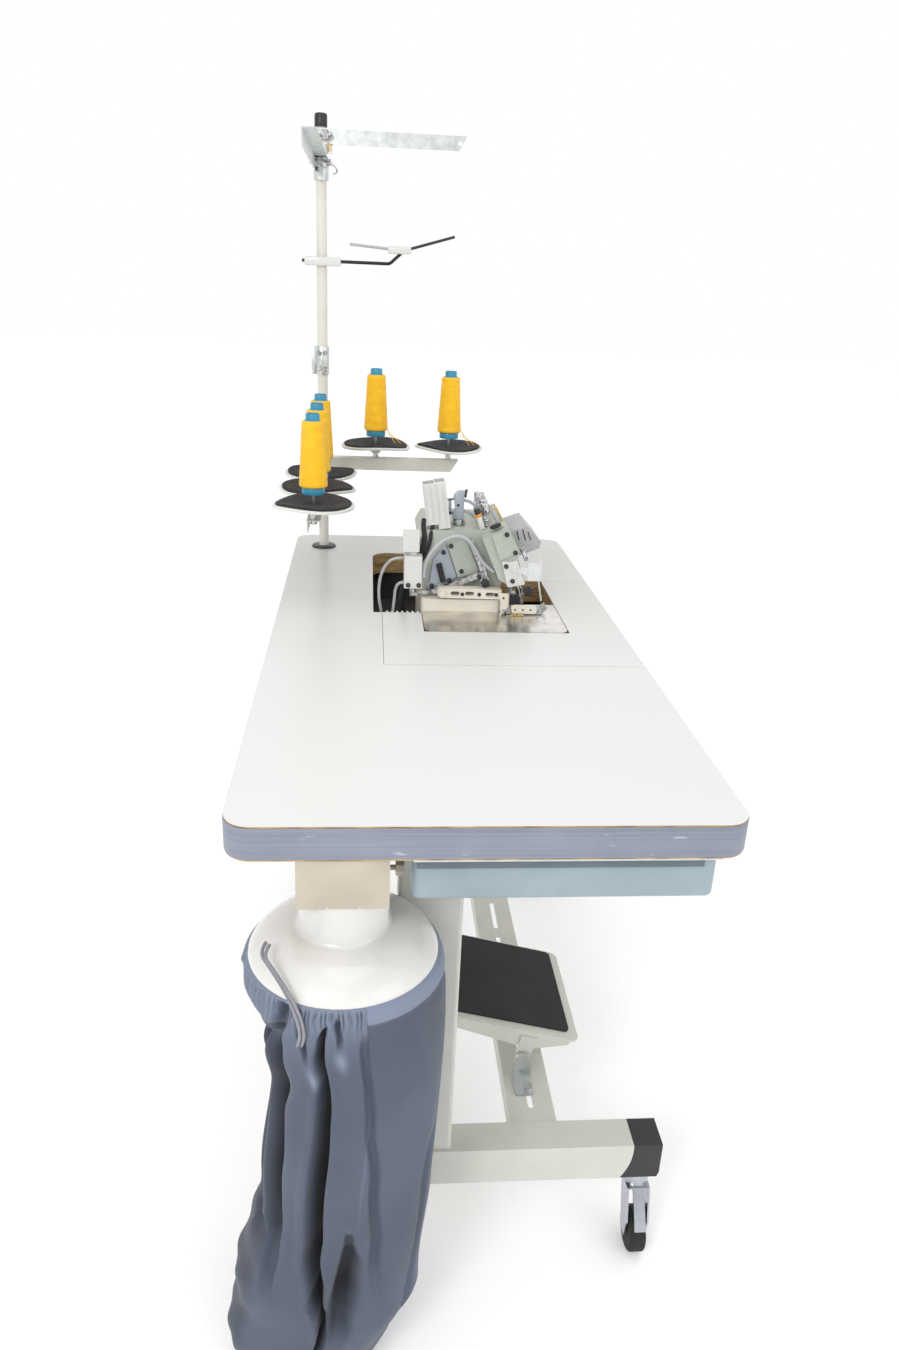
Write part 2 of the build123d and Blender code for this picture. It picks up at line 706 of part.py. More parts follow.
# angle-section arms over the cones, with an eyelet hole above each one
with BuildPart() as top_guide_arms:
    for reach, top, heading, spots in (
        (pole_y - right_arm_end - 8, guide_right_z, (0, -1, 0), [pole_y - y for y in right_spools]),
        (pole_x - left_arm_end, guide_left_z, (-1, 0, 0), [pole_x - x for x in left_spools]),
    ):
        along = Plane(origin=(pole_x, pole_y, top), x_dir=heading, z_dir=(0, 0, 1))
        section = Plane(origin=(pole_x, pole_y, top), x_dir=along.y_dir, z_dir=heading)
        with BuildSketch(section.offset(-18)):
            with Locations((0, -1)):
                Rectangle(arm_w, 2)
            with Locations((-arm_w / 2 + 1, -guide_h / 2)):
                Rectangle(2, guide_h)
        extrude(amount=reach + 18)
        side = Plane(origin=(pole_x, pole_y, top), x_dir=heading, z_dir=along.y_dir * -1)
        with BuildSketch(side.offset(-arm_w)):
            with BuildLine():
                Polyline(
                    (reach + 1, 1), (reach + 1, -guide_h - 1), (reach - 14, -guide_h - 1), (reach, 1), close=True,
                )
            make_face()
            with Locations(*[(spot, -guide_h / 2) for spot in spots]):
                Circle(guide_r)
        extrude(amount=2 * arm_w, mode=Mode.SUBTRACT)
        with BuildSketch(along.offset(-guide_h)):
            Circle(pole_r + run_gap)
        extrude(amount=guide_h, mode=Mode.SUBTRACT)
        # clamp round the pole
        with BuildSketch(along.offset(-guide_h - 14)):
            Circle(pole_r + 3.5)
            with Locations((pole_r + 6, 0)):
                Rectangle(10, 8)
            Circle(pole_r + run_gap, mode=Mode.SUBTRACT)
        extrude(amount=guide_h + 12)
save(top_guide_arms, "top_guide_arms")

# thread tube holder half-way up the pole
with BuildPart() as mid_guide:
    with BuildSketch(Plane.XY.offset(mid_z - 8)):
        with Locations((pole_x - 4, pole_y - 2)):
            RectangleRounded(34, 66, 5)
        with Locations((pole_x, pole_y)):
            Circle(pole_r + run_gap, mode=Mode.SUBTRACT)
    extrude(amount=15)
    knee = (pole_x - 15, 84, mid_z)
    block = (pole_x - 15, 62, mid_z + 20)
    with BuildLine() as rod_line:
        FilletPolyline((pole_x - 15, 243, mid_z), knee, block, radius=8)
    with BuildSketch(Plane(origin=(pole_x - 15, 243, mid_z), x_dir=(1, 0, 0), z_dir=(0, -1, 0))):
        Circle(3)
    sweep(path=rod_line.line)
    with BuildSketch(Plane.XY.offset(mid_z + 17)):
        with Locations((pole_x - 15, 67)):
            RectangleRounded(16, 42, 4)
    extrude(amount=13)
    for start, end in (((pole_x - 18, 74, mid_z + 24), (pole_x - 18, 157, mid_z + 30)),
                       ((pole_x - 12, 56, mid_z + 24), (pole_x - 12, -33, mid_z + 50))):
        with BuildLine() as straight:
            Line(start, end)
        with BuildSketch(Plane(origin=start, z_dir=straight.line % 0)):
            Circle(2.5)
        sweep(path=straight.line)
    with BuildSketch(Plane.XY.offset(mid_z + 29)):
        with Locations((pole_x - 15, 70), (pole_x - 15, 80)):
            Rectangle(8, 1.6)
    extrude(amount=20)
save(mid_guide, "mid_guide")

# ---------------------------------------------------------------- waste collector
bracket_x = funnel_x - neck_r
sheet = 2
with BuildPart() as funnel_bracket:
    with BuildSketch(Plane.YZ.offset(bracket_x - sheet)):
        with Locations((funnel_y, (plate_z0 + table_under) / 2)):
            Rectangle(plate_w, table_under - plate_z0)
        for notch in (-17, 17):
            with BuildLine():
                Polyline(
                    (funnel_y + notch - 3, plate_z0 - 1), (funnel_y + notch + 3, plate_z0 - 1),
                    (funnel_y + notch, plate_z0 + 5), close=True,
                )
            make_face(mode=Mode.SUBTRACT)
    extrude(amount=sheet)
    with BuildSketch(Plane.XY.offset(table_under - sheet)):
        with Locations((bracket_x + 52, funnel_y)):
            Rectangle(104, plate_w)
            with GridLocations(80, 70, 2, 2):
                Circle(2.5, mode=Mode.SUBTRACT)
    extrude(amount=sheet)
    fillet(funnel_bracket.edges().filter_by(Axis.Y).group_by(Axis.Z)[-1].sort_by(Axis.X)[:1], 1.5)
    # thumb knob that clamps the neck
    with BuildSketch(Plane.XZ.offset(-funnel_y + neck_r)):
        with Locations((funnel_x, 706)):
            Circle(3)
    extrude(amount=6)
    with BuildSketch(Plane.XZ.offset(-funnel_y + neck_r + 6)):
        with Locations((funnel_x, 706)):
            RegularPolygon(9, 8)
    extrude(amount=9)
save(funnel_bracket, "funnel_bracket")

neck_top = table_under - sheet
with BuildPart() as waste_funnel:
    with BuildSketch(Plane(origin=(funnel_x, funnel_y, 0), x_dir=(1, 0, 0), z_dir=(0, -1, 0))):
        with BuildLine():
            Line((neck_r, neck_top), (neck_r, neck_z0))
            ThreePointArc((neck_r, neck_z0), (82, 630), (rim_r, rim_z))
            Line((rim_r, rim_z), (rim_r, rim_z - 6))
            Line((rim_r, rim_z - 6), (rim_r - funnel_wall, rim_z - 6))
            ThreePointArc((rim_r - funnel_wall, rim_z - 6), (80, 626), (neck_r - funnel_wall, neck_z0 - 3))
            Line((neck_r - funnel_wall, neck_z0 - 3), (neck_r - funnel_wall, neck_top))
            Line((neck_r - funnel_wall, neck_top), (neck_r, neck_top))
        make_face()
    revolve(axis=Axis((funnel_x, funnel_y, 0), (0, 0, 1)))
    # inlet stub in the side of the neck for a waste hose
    with BuildSketch(Plane.YZ.offset(funnel_x + neck_r + port_len)):
        with Locations((funnel_y, port_z)):
            Circle(port_r + 2)
    extrude(amount=-port_len - 8)
    with BuildSketch(Plane.YZ.offset(funnel_x + 20)):
        with Locations((funnel_y, port_z)):
            Circle(port_r)
    extrude(amount=80, mode=Mode.SUBTRACT)
    with BuildSketch(Plane.XY.offset(port_z - port_r - 3)):
        with Locations((funnel_x, funnel_y)):
            Circle(neck_r - funnel_wall)
    extrude(amount=2 * port_r + 6, mode=Mode.SUBTRACT)
save(waste_funnel, "waste_funnel")

# the bag's centre line and half-widths from the rim down: height, x, y, half-width in x, half-width in y
bag_rings = [
    (rim_z - 1, funnel_x, funnel_y, rim_r + 4.2, rim_r + 4.2),
    (570, -516, 143, 106, 115), (450, -528, 126, 92, 98),
    (290, -529, 138, 93, 103), (120, -534, 162, 90, 116), (40, -542, 186, 82, 104), (14, -542, 188, 62, 82),
]
bag_cloth = 3.6
with BuildPart() as waste_bag:
    for ring_z, ring_x, ring_y, rx, ry in bag_rings:
        with BuildSketch(Plane.XY.offset(ring_z)):
            with Locations((ring_x, ring_y)):
                Ellipse(rx, ry)
    loft()
    for ring_z, ring_x, ring_y, rx, ry in bag_rings:
        with BuildSketch(Plane.XY.offset(max(ring_z, 14 + bag_cloth))):
            with Locations((ring_x, ring_y)):
                Ellipse(rx - bag_cloth, ry - bag_cloth)
    loft(mode=Mode.SUBTRACT)
save(waste_bag, "waste_bag")

# ---------------------------------------------------------------- sewing head: bed and plate
pillar_r = 6
pillar_spots = [(36, 16), (36, -186), (156, -186)]
guide_bar_x = 118
guide_bar_z = 761
looper_z = 731
with BuildPart() as bed_casting:
    with BuildSketch(Plane.XY.offset(bed_z0)):
        with Locations(((plate_x0 + 8 + bed_x1) / 2, (plate_y0 + 6 + bed_y1) / 2)):
            RectangleRounded(bed_x1 - plate_x0 - 8, bed_y1 - plate_y0 - 6, 8)
    extrude(amount=bed_floor_t)
    with BuildSketch(Plane.XY.offset(bed_z0 + bed_floor_t)):
        with Locations(((bed_x0 + bed_x1) / 2, (bed_y0 + bed_y1) / 2)):
            Rectangle(bed_x1 - bed_x0, bed_y1 - bed_y0)
        with Locations(*pillar_spots):
            Circle(pillar_r)
    extrude(amount=table_z - plate_t - bed_z0 - bed_floor_t)
    with BuildSketch(Plane.XY.offset(table_z - plate_t)):
        with Locations(((bed_x0 + bed_x1) / 2, (bed_y0 + bed_y1) / 2)):
            RectangleRounded(bed_x1 - bed_x0, bed_y1 - bed_y0, 6)
    extrude(amount=bed_top - table_z + plate_t)
    # feed bar guide on the near face
    with BuildSketch(Plane.XZ.offset(76)):
        with Locations((guide_bar_x, guide_bar_z + 5)):
            Rectangle(12, 20)
            Rectangle(5 + 2 * run_gap, 10 + 2 * run_gap, mode=Mode.SUBTRACT)
    extrude(amount=14)
    # bores for the two looper shafts
    for looper_x in (150, 190):
        with BuildSketch(Plane.XZ.offset(1 - bed_y0)):
            with Locations((looper_x, looper_z)):
                Circle(5 + run_gap)
        extrude(amount=-42, mode=Mode.SUBTRACT)
    # post and pin that carry the presser arm and the foot lifter
    post_x = lifter_x + lifter_t / 2 + 1.5
    with BuildSketch(Plane.YZ.offset(post_x)):
        with Locations((lifter_y, (bed_top + lifter_z) / 2)):
            Rectangle(14, lifter_z - bed_top)
        with Locations((lifter_y, lifter_z)):
            Circle(7)
    extrude(amount=5.5)
    with BuildSketch(Plane.YZ.offset(post_x)):
        with Locations((lifter_y, lifter_z)):
            Circle(lifter_pin_r)
    extrude(amount=presser_x0 - 1 - post_x)
    with BuildSketch(Plane.YZ.offset(presser_x0 - 1)):
        with Locations((lifter_y, lifter_z)):
            Circle(5.5)
    extrude(amount=-4)
    # notch that lets the lifter's rear arm swing down
    with BuildSketch(Plane.XY.offset(bed_top - 9)):
        with Locations((lifter_x, bed_y1 - 5)):
            Rectangle(lifter_t + 5, 12)
    extrude(amount=10, mode=Mode.SUBTRACT)
save(bed_casting, "bed_casting")

dog_x = (126.5, 150.5)
dog_w = (13, 7)
dog_y = -149
dog_len = 38
with BuildPart() as cloth_plate:
    with BuildSketch(Plane.XY.offset(table_z - plate_t)):
        with BuildLine():
            Polyline(
                (plate_x0, plate_y0), (plate_x1, plate_y0), (plate_x1, bed_y0 - 1),
                (bed_x0 - 0.6, bed_y0 - 1), (bed_x0 - 0.6, plate_y1), (plate_x0, plate_y1), close=True,
            )
        make_face()
    extrude(amount=plate_t)
    near = cloth_plate.edges().filter_by(Axis.Z).group_by(Axis.X)[0]
    fillet(near, 15)
    # slots for the feed dogs, the needles and the knife
    with BuildSketch(Plane.XY.offset(table_z - plate_t)):
        for slot_x, width in zip(dog_x, dog_w):
            with Locations((slot_x, dog_y)):
                Rectangle(width + 2, dog_len + 10)
        with Locations((needle_x, needle_y - 8)):
            RectangleRounded(8, 14, 2)
        with Locations((164, -135)):
            Rectangle(13, 28)
    extrude(amount=plate_t, mode=Mode.SUBTRACT)
save(cloth_plate, "cloth_plate")

with BuildPart() as feed_dogs:
    for slot_x, width in zip(dog_x, dog_w):
        with BuildSketch(Plane.XY.offset(776)):
            with Locations((slot_x, dog_y)):
                Rectangle(width, dog_len)
        extrude(amount=table_z + 0.6 - 776)
    with BuildSketch(Plane.XY.offset(776)):
        with Locations((134.75, dog_y - dog_len / 2 + 4)):
            Rectangle(38.5, 8)
    extrude(amount=5)
    with BuildSketch(Plane.XY.offset(guide_bar_z)):
        with Locations((guide_bar_x, -118)):
            Rectangle(5, 106)
    extrude(amount=10)
    with BuildSketch(Plane.XY.offset(guide_bar_z)):
        with Locations((guide_bar_x, dog_y - dog_len / 2 + 4)):
            Rectangle(5, 8)
    extrude(amount=18)
save(feed_dogs, "feed_dogs")

for name, looper_x, blade_y, tip_x in (("lower_looper", 150, -147, 134), ("upper_looper", 190, -131, 170)):
    with BuildPart() as looper:
        with BuildSketch(Plane.XZ.offset(-blade_y + 5)):
            with Locations((looper_x, looper_z)):
                Circle(5)
        extrude(amount=blade_y - 5 + 70)
        with BuildSketch(Plane.XZ.offset(-blade_y - 3)):
            with BuildLine():
                Polyline(
                    (looper_x - 9, looper_z - 2), (tip_x - 1, looper_z + 27), (tip_x - 4, looper_z + 35),
                    (tip_x + 2, looper_z + 36), (tip_x + 7, looper_z + 29), (looper_x + 9, looper_z + 2),
                    close=True,
                )
            make_face()
            with Locations((looper_x, looper_z)):
                Circle(9)
        extrude(amount=6)
    save(looper, name)

# ---------------------------------------------------------------- sewing head: arm and covers
outline = [
    (22, bed_top), (36, 900), (26, arm_top), (-78, arm_top), (-107.4, 931), (-128.3, 893.6), (-98, bed_top),
]
nose = [
    (-66, 912), (-80, 921.3), (-107.4, 933.6), (-128.3, 893.6),
    (-126, 882), (-139.9, 841), (-113, 835), (-96, 846),
]
up = (0, math.sin(math.radians(lean)), math.cos(math.radians(lean)))
bar_plane = Plane(origin=(needle_x, needle_y, needle_z), x_dir=(1, 0, 0), z_dir=up)
knife_x = 172
knife_y = -122
with BuildPart() as arm_casting:
    with BuildSketch(Plane.YZ.offset(arm_x0)):
        with BuildLine():
            Polyline(*outline, close=True)
        make_face()
    extrude(amount=head_x1 - arm_x0)
    with BuildSketch(Plane.YZ.offset(nose_x0)):
        with BuildLine():
            Polyline(*nose, close=True)
        make_face()
    extrude(amount=arm_x0 - nose_x0 + 0.5)
    # boss for the knife bar, and the lug that the air cylinder bolts to
    with BuildSketch(Plane.XY.offset(836)):
        with Locations((knife_x, knife_y + 6)):
            Rectangle(20, 30)
    extrude(amount=26)
    with BuildSketch(Plane.XY.offset(843)):
        with Locations((arm_x0 + 7, 41)):
            Rectangle(14, 38)
    extrude(amount=32)
    # crankcase around the main shaft, and the shaft's bore
    with BuildSketch(Plane.YZ.offset(arm_x0 + 14)):
        with Locations((shaft_y, 867)):
            Rectangle(80, 74)
    extrude(amount=head_x1 - arm_x0 - 28, mode=Mode.SUBTRACT)
    with BuildSketch(Plane.YZ.offset(arm_x0 + 5)):
        with Locations((shaft_y, shaft_z)):
            Circle(shaft_r + run_gap)
    extrude(amount=head_x1 - arm_x0, mode=Mode.SUBTRACT)
    with BuildSketch(bar_plane):
        Circle(bar_r + run_gap)
    extrude(amount=140, mode=Mode.SUBTRACT)
    with BuildSketch(Plane.XY.offset(830)):
        with Locations((knife_x, knife_y)):
            Circle(4 + run_gap)
    extrude(amount=50, mode=Mode.SUBTRACT)
save(arm_casting, "arm_casting")

side_cover = [(-9.8, 903), (-39.2, 910.4), (-65.4, 851.3), (-30.7, 840.3)]
top_cover = [(-80.4, 920.5), (-107, 932.6), (-128, 893.8), (-95.7, 879.3)]
with BuildPart() as casting_covers:
    for corners, back in ((side_cover, arm_x0), (top_cover, nose_x0)):
        with BuildSketch(Plane.YZ.offset(back - cover_t)):
            with BuildLine():
                Polyline(*corners, close=True)
            make_face()
        extrude(amount=cover_t)
    fillet(casting_covers.edges().filter_by(Axis.X), 3)
save(casting_covers, "casting_covers")

with BuildPart() as face_cover:
    with BuildSketch(Plane.YZ.offset(nose_x0 - cover_t)):
        with BuildLine():
            Polyline(
                (-98.5, 878.5), (-113.2, 876.6), (-123.9, 880.2), (-139.9, 839.6), (-110.7, 834), close=True,
            )
        make_face()
    extrude(amount=cover_t)
    fillet(face_cover.edges().filter_by(Axis.X), 2)
    # pin that the eye guard swings on
    with BuildSketch(Plane.YZ.offset(nose_x0 - cover_t)):
        with Locations((guard_y, guard_z)):
            Circle(2)
    extrude(amount=-7)
save(face_cover, "face_cover")

with BuildPart() as control_panel:
    with BuildSketch(Plane.YZ.offset(205)):
        with BuildLine():
            Polyline(
                (-121.3, 907), (-150.4, 918), (-176.7, 890.5), (-174, 880), (-143.4, 866.7),
                (-120.4, 871), (-128.7, 893.6), close=True,
            )
        make_face()
    extrude(amount=105)
    corners = control_panel.edges().filter_by(Axis.X).group_by(Axis.Y)
    fillet(corners[0] + corners[1], 2.5)
save(control_panel, "control_panel")

# ---------------------------------------------------------------- main shaft, motor and handwheel
shaft_end = 388
with BuildPart() as main_shaft:
    with BuildSketch(Plane.YZ.offset(arm_x0 + 7)):
        with Locations((shaft_y, shaft_z)):
            Circle(shaft_r)
    extrude(amount=shaft_end - arm_x0 - 7)
    with BuildSketch(Plane.YZ.offset(arm_x0 + 24)):
        with Locations((shaft_y + 3, shaft_z + 2)):
            Circle(18)
    extrude(amount=12)
save(main_shaft, "main_shaft")

motor_len = 30
with BuildPart() as motor_housing:
    with BuildSketch(Plane.YZ.offset(head_x1)):
        with Locations((shaft_y, shaft_z)):
            Circle(51)
            Circle(shaft_r + run_gap, mode=Mode.SUBTRACT)
    extrude(amount=motor_len)
    fillet(motor_housing.edges().group_by(Axis.X)[-1].group_by(SortBy.RADIUS)[-1], 4)
save(motor_housing, "motor_housing")

with BuildPart() as handwheel:
    with BuildSketch(Plane.YZ.offset(head_x1 + motor_len + 2)):
        with Locations((shaft_y, shaft_z)):
            Circle(45)
            Circle(shaft_r + 0.02, mode=Mode.SUBTRACT)
    extrude(amount=32)
    fillet(handwheel.edges().filter_by(GeomType.CIRCLE).group_by(SortBy.RADIUS)[-1], 6)
    with BuildSketch(Plane.YZ.offset(head_x1 + motor_len + 20)):
        with Locations((shaft_y, shaft_z)):
            Circle(32)
            Circle(18, mode=Mode.SUBTRACT)
    extrude(amount=20, mode=Mode.SUBTRACT)
save(handwheel, "handwheel")

# ---------------------------------------------------------------- needle bar and knife
with BuildPart() as needle_bar:
    with BuildSketch(bar_plane.offset(16)):
        Circle(bar_r)
    extrude(amount=84)
    with BuildSketch(bar_plane.offset(4)):
        Circle(6)
    extrude(amount=13)
    with BuildSketch(bar_plane.offset(-17)):
        with Locations((-1.6, 0), (1.6, 0)):
            Circle(0.8)
    extrude(amount=22)
save(needle_bar, "needle_bar")

with BuildPart() as upper_knife:
    with BuildSketch(Plane.XY.offset(806)):
        with Locations((knife_x, knife_y)):
            Circle(4)
    extrude(amount=68)
    with BuildSketch(Plane.XY.offset(802)):
        with Locations((knife_x - 5, knife_y - 5)):
            Rectangle(18, 18)
    extrude(amount=10)
    with BuildSketch(Plane.XY.offset(787)):
        with Locations((161, -135)):
            Rectangle(3, 20)
    extrude(amount=25)
save(upper_knife, "upper_knife")

# ---------------------------------------------------------------- presser foot and its lift
foot_gap = 0.3
sole_z = table_z + 0.6 + foot_gap
with BuildPart() as presser_arm:
    with BuildSketch(Plane.YZ.offset(presser_x0)):
        with BuildLine():
            Polyline((lifter_y, 815), (lifter_y, 831), (-60, 831), (-101, 829), (-101, 814), close=True)
        make_face()
        with Locations((lifter_y, lifter_z)):
            Circle(8)
            Circle(lifter_pin_r + run_gap, mode=Mode.SUBTRACT)
        with Locations((-24, 823), (-48, 823), (-82, 822)):
            SlotOverall(15, 7, mode=Mode.SUBTRACT)
    extrude(amount=presser_w)
    # link down to the foot
    with BuildSketch(Plane.YZ.offset(116)):
        with BuildLine():
            Polyline(
                (-97, 822), (-114, 822), (-114, sole_z + 9), (-101.8, sole_z + 9), (-101.8, 814), (-97, 814),
                close=True,
            )
        make_face()
    extrude(amount=12)
save(presser_arm, "presser_arm")

with BuildPart() as presser_foot:
    with BuildSketch(Plane.XY.offset(sole_z)):
        with Locations((132, -140)):
            Rectangle(40, 60)
        with Locations((needle_x, needle_y - 8)):
            Rectangle(12, 22, mode=Mode.SUBTRACT)
        with Locations((knife_x - 14, -135)):
            Rectangle(12, 30, mode=Mode.SUBTRACT)
    extrude(amount=3.5)
    with BuildSketch(Plane.YZ.offset(113)):
        with BuildLine():
            Polyline(
                (-169.5, sole_z + 3.5), (-169.5, sole_z + 0.5), (-178, sole_z + 8), (-178, sole_z + 10.5),
                close=True,
            )
        make_face()
    extrude(amount=34)
    with BuildSketch(Plane.XY.offset(sole_z + 3)):
        with Locations((122, -112)):
            Rectangle(14, 14)
        with Locations((120, -142)):
            Rectangle(10, 48)
    extrude(amount=6)
save(presser_foot, "presser_foot")

with BuildPart() as foot_lifter:
    with BuildSketch(Plane.YZ.offset(lifter_x - lifter_t / 2)):
        with BuildLine():
            Polyline(
                (lifter_y, lifter_z - 5), (-66, 845), (-80, 832), (-84, 838), (-78, 850), (-72, 866),
                (-50, 910), (-44, 907), (-62, 868), (-66, 855), (lifter_y, lifter_z + 5),
                (36, 817), (50, 817), (50, 811), close=True,
            )
        make_face()
        with Locations((lifter_y, lifter_z)):
            Circle(7)
            Circle(lifter_pin_r + run_gap, mode=Mode.SUBTRACT)
    extrude(amount=lifter_t)
    with BuildSketch(Plane.YZ.offset(lifter_x - lifter_t / 2 - 5)):
        with Locations((-74, 841)):
            RegularPolygon(8, 8)
    extrude(amount=5)
save(foot_lifter, "foot_lifter")

cyl_x0 = arm_x0 - 30
cyl_y0 = 31
cyl_w = 29
cyl_z0 = 828
cyl_h = 54
with BuildPart() as air_cylinder:
    with BuildSketch(Plane.XY.offset(cyl_z0)):
        with Locations((cyl_x0 + 15, cyl_y0 + cyl_w / 2)):
            RectangleRounded(30, cyl_w, 2)
    extrude(amount=cyl_h)
    with BuildSketch(Plane.XY.offset(cyl_z0 + cyl_h)):
        with Locations((cyl_x0 + 15, cyl_y0 + cyl_w / 2)):
            Circle(7)
    extrude(amount=7)
    with BuildSketch(Plane.XY.offset(cyl_z0 + cyl_h + 7)):
        with Locations((cyl_x0 + 16, cyl_y0 + cyl_w / 2 + 4)):
            RectangleRounded(28, cyl_w - 2, 2)
    extrude(amount=31)
    with BuildSketch(Plane.XY.offset(cyl_z0 + 5)):
        with Locations((lifter_x, cyl_y0 + cyl_w / 2)):
            Circle(9.08)
    extrude(amount=cyl_h - 10, mode=Mode.SUBTRACT)
    with BuildSketch(Plane.XY.offset(cyl_z0)):
        with Locations((lifter_x, cyl_y0 + cyl_w / 2)):
            Circle(3 + run_gap)
    extrude(amount=6, mode=Mode.SUBTRACT)
save(air_cylinder, "air_cylinder")

rod_foot = 817.4
with BuildPart() as air_rod:
    with BuildSketch(Plane.XY.offset(rod_foot)):
        with Locations((lifter_x, cyl_y0 + cyl_w / 2)):
            Circle(3)
    extrude(amount=50)
    with BuildSketch(Plane.XY.offset(rod_foot)):
        with Locations((lifter_x, cyl_y0 + cyl_w / 2)):
            Circle(5)
    extrude(amount=4)
    with BuildSketch(Plane.XY.offset(cyl_z0 + cyl_h - 20)):
        with Locations((lifter_x, cyl_y0 + cyl_w / 2)):
            Circle(9)
    extrude(amount=6)
save(air_rod, "air_rod")

# ---------------------------------------------------------------- eye guard
with BuildPart() as eye_guard:
    with BuildSketch(Plane.XY.offset(848)):
        with Locations((114, -153)):
            Rectangle(2, 22)
        with Locations((132, -163)):
            Rectangle(38, 2)
    extrude(amount=30)
    with BuildSketch(Plane.YZ.offset(115)):
        with BuildLine():
            Polyline((guard_y, guard_z + 4), (guard_y, guard_z - 4), (-150, 854), (-150, 868), close=True)
        make_face()
        with Locations((guard_y, guard_z)):
            Circle(5)
            Circle(2 + run_gap, mode=Mode.SUBTRACT)
    extrude(amount=3)
    with BuildLine() as hang:
        Line((114, -160, 850), (114, -167, 814))
    with BuildSketch(Plane(origin=(114, -160, 850), z_dir=hang.line % 0)):
        Circle(1.6)
    sweep(path=hang.line)
save(eye_guard, "eye_guard")

# ---------------------------------------------------------------- cable duct and small fittings
with BuildPart() as cable_duct:
    for foot_y2, low, high, width in ((2.8, 928, 996, 20), (-16, arm_top + 3, 1000, 19)):
        duct_plane = Plane(
            origin=(162, foot_y2, low), x_dir=(1, 0, 0),
            z_dir=(0, math.sin(math.radians(8.5)), math.cos(math.radians(8.5))),
        )
        with BuildSketch(duct_plane):
            with Locations((15, width / 2)):
                Rectangle(30, width)
                Rectangle(26, width - 4, mode=Mode.SUBTRACT)
        extrude(amount=high - low)
save(cable_duct, "cable_duct")

with BuildPart() as head_fittings:
    # steel side plate with its rubber block
    with BuildSketch(Plane.YZ.offset(arm_x0 - 4)):
        with BuildLine():
            Polyline((19, 818), (12, 870), (-7, 899), (-29, 842), (-13, 827), close=True)
        make_face()
    extrude(amount=4)
    with BuildSketch(Plane.YZ.offset(arm_x0 - 10)):
        with Locations((-4, 858)):
            Rectangle(12, 34, rotation=-lean)
    extrude(amount=6)
    # thread-guide lever with its window frame, on top of the arm
    with BuildSketch(Plane.YZ.offset(197)):
        with BuildLine():
            Polyline(
                (-28, arm_top), (-50, arm_top), (-56, 950), (-62, 980), (-38, 984), (-30, 960), close=True,
            )
        make_face()
    extrude(amount=6)
    with BuildSketch(Plane.YZ.offset(203)):
        with Locations((-40, 934)):
            Rectangle(56, 28)
            with Locations((-14, 0), (14, 0)):
                Rectangle(20, 18, mode=Mode.SUBTRACT)
    extrude(amount=4)
    # thread tension posts in a row, and the pressure regulator
    for post_x in (190, 225, 255, 285):
        with BuildSketch(Plane.XY.offset(arm_top)):
            with Locations((post_x, -74)):
                Circle(4)
        extrude(amount=27)
        with BuildSketch(Plane.XY.offset(944)):
            with Locations((post_x, -74)):
                Circle(9.2)
        extrude(amount=13)
    with BuildSketch(Plane(origin=(176, -72, arm_top + 2), z_dir=up)):
        Circle(5.5)
    extrude(amount=27)
    # brass spring strip behind the posts
    with BuildSketch(Plane.YZ.offset(188)):
        with BuildLine():
            Polyline((-94, 925.9), (-98, 927.5), (-112, 948), (-94, 962), (-92, 960), (-108, 948), close=True)
        make_face()
    extrude(amount=12)
    # thumb screw of the nose and hinge pin of the eye guard
    with BuildSketch(Plane.XZ.offset(137.5)):
        with Locations((133, 852)):
            Circle(3)
    extrude(amount=5)
    with BuildSketch(Plane.XZ.offset(142)):
        with Locations((133, 852)):
            RegularPolygon(8, 8)
    extrude(amount=12)
save(head_fittings, "head_fittings")

head_r = 3.6
screws = [
    (-16.8, 894.7, arm_x0 - cover_t), (-36, 852, arm_x0 - cover_t),
    (-5, 883.5, arm_x0 - 4), (-16, 836, arm_x0 - 4), (13, 826, arm_x0 - 4),
    (-106, 870, nose_x0 - cover_t), (-118.2, 845.2, nose_x0 - cover_t),
    (-104, 923, nose_x0 - cover_t), (-120, 893.1, nose_x0 - cover_t),
    (53.4, 834, cyl_x0), (36.1, 834, cyl_x0),
]
with BuildPart() as cover_screws:
    for screw_y, screw_z, face_x in screws:
        with BuildSketch(Plane.YZ.offset(face_x - 3)):
            with Locations((screw_y, screw_z)):
                Circle(head_r)
                RegularPolygon(1.8, 6, mode=Mode.SUBTRACT)
        extrude(amount=3)
save(cover_screws, "cover_screws")

# ---------------------------------------------------------------- hoses and cables on the head
def tube(points, radius, label):
    """A round hose along straight runs joined by arcs as large as the runs allow."""
    corners = []
    for before, here, after in zip(points, points[1:], points[2:]):
        run_in = Vector(*here) - Vector(*before)
        run_out = Vector(*after) - Vector(*here)
        turn = math.radians(run_in.get_angle(run_out))
        shorter = min(run_in.length, run_out.length)
        corners.append(0.45 * shorter / math.tan(turn / 2))
    print(label, "radii", [round(r, 1) for r in corners])
    with BuildLine(mode=Mode.PRIVATE) as route:
        FilletPolyline(*points, radius=corners)
    with BuildSketch(Plane(origin=points[0], z_dir=route.line % 0), mode=Mode.PRIVATE) as ring:
        Circle(radius)
    return sweep(ring.sketch, path=route.line, mode=Mode.PRIVATE)


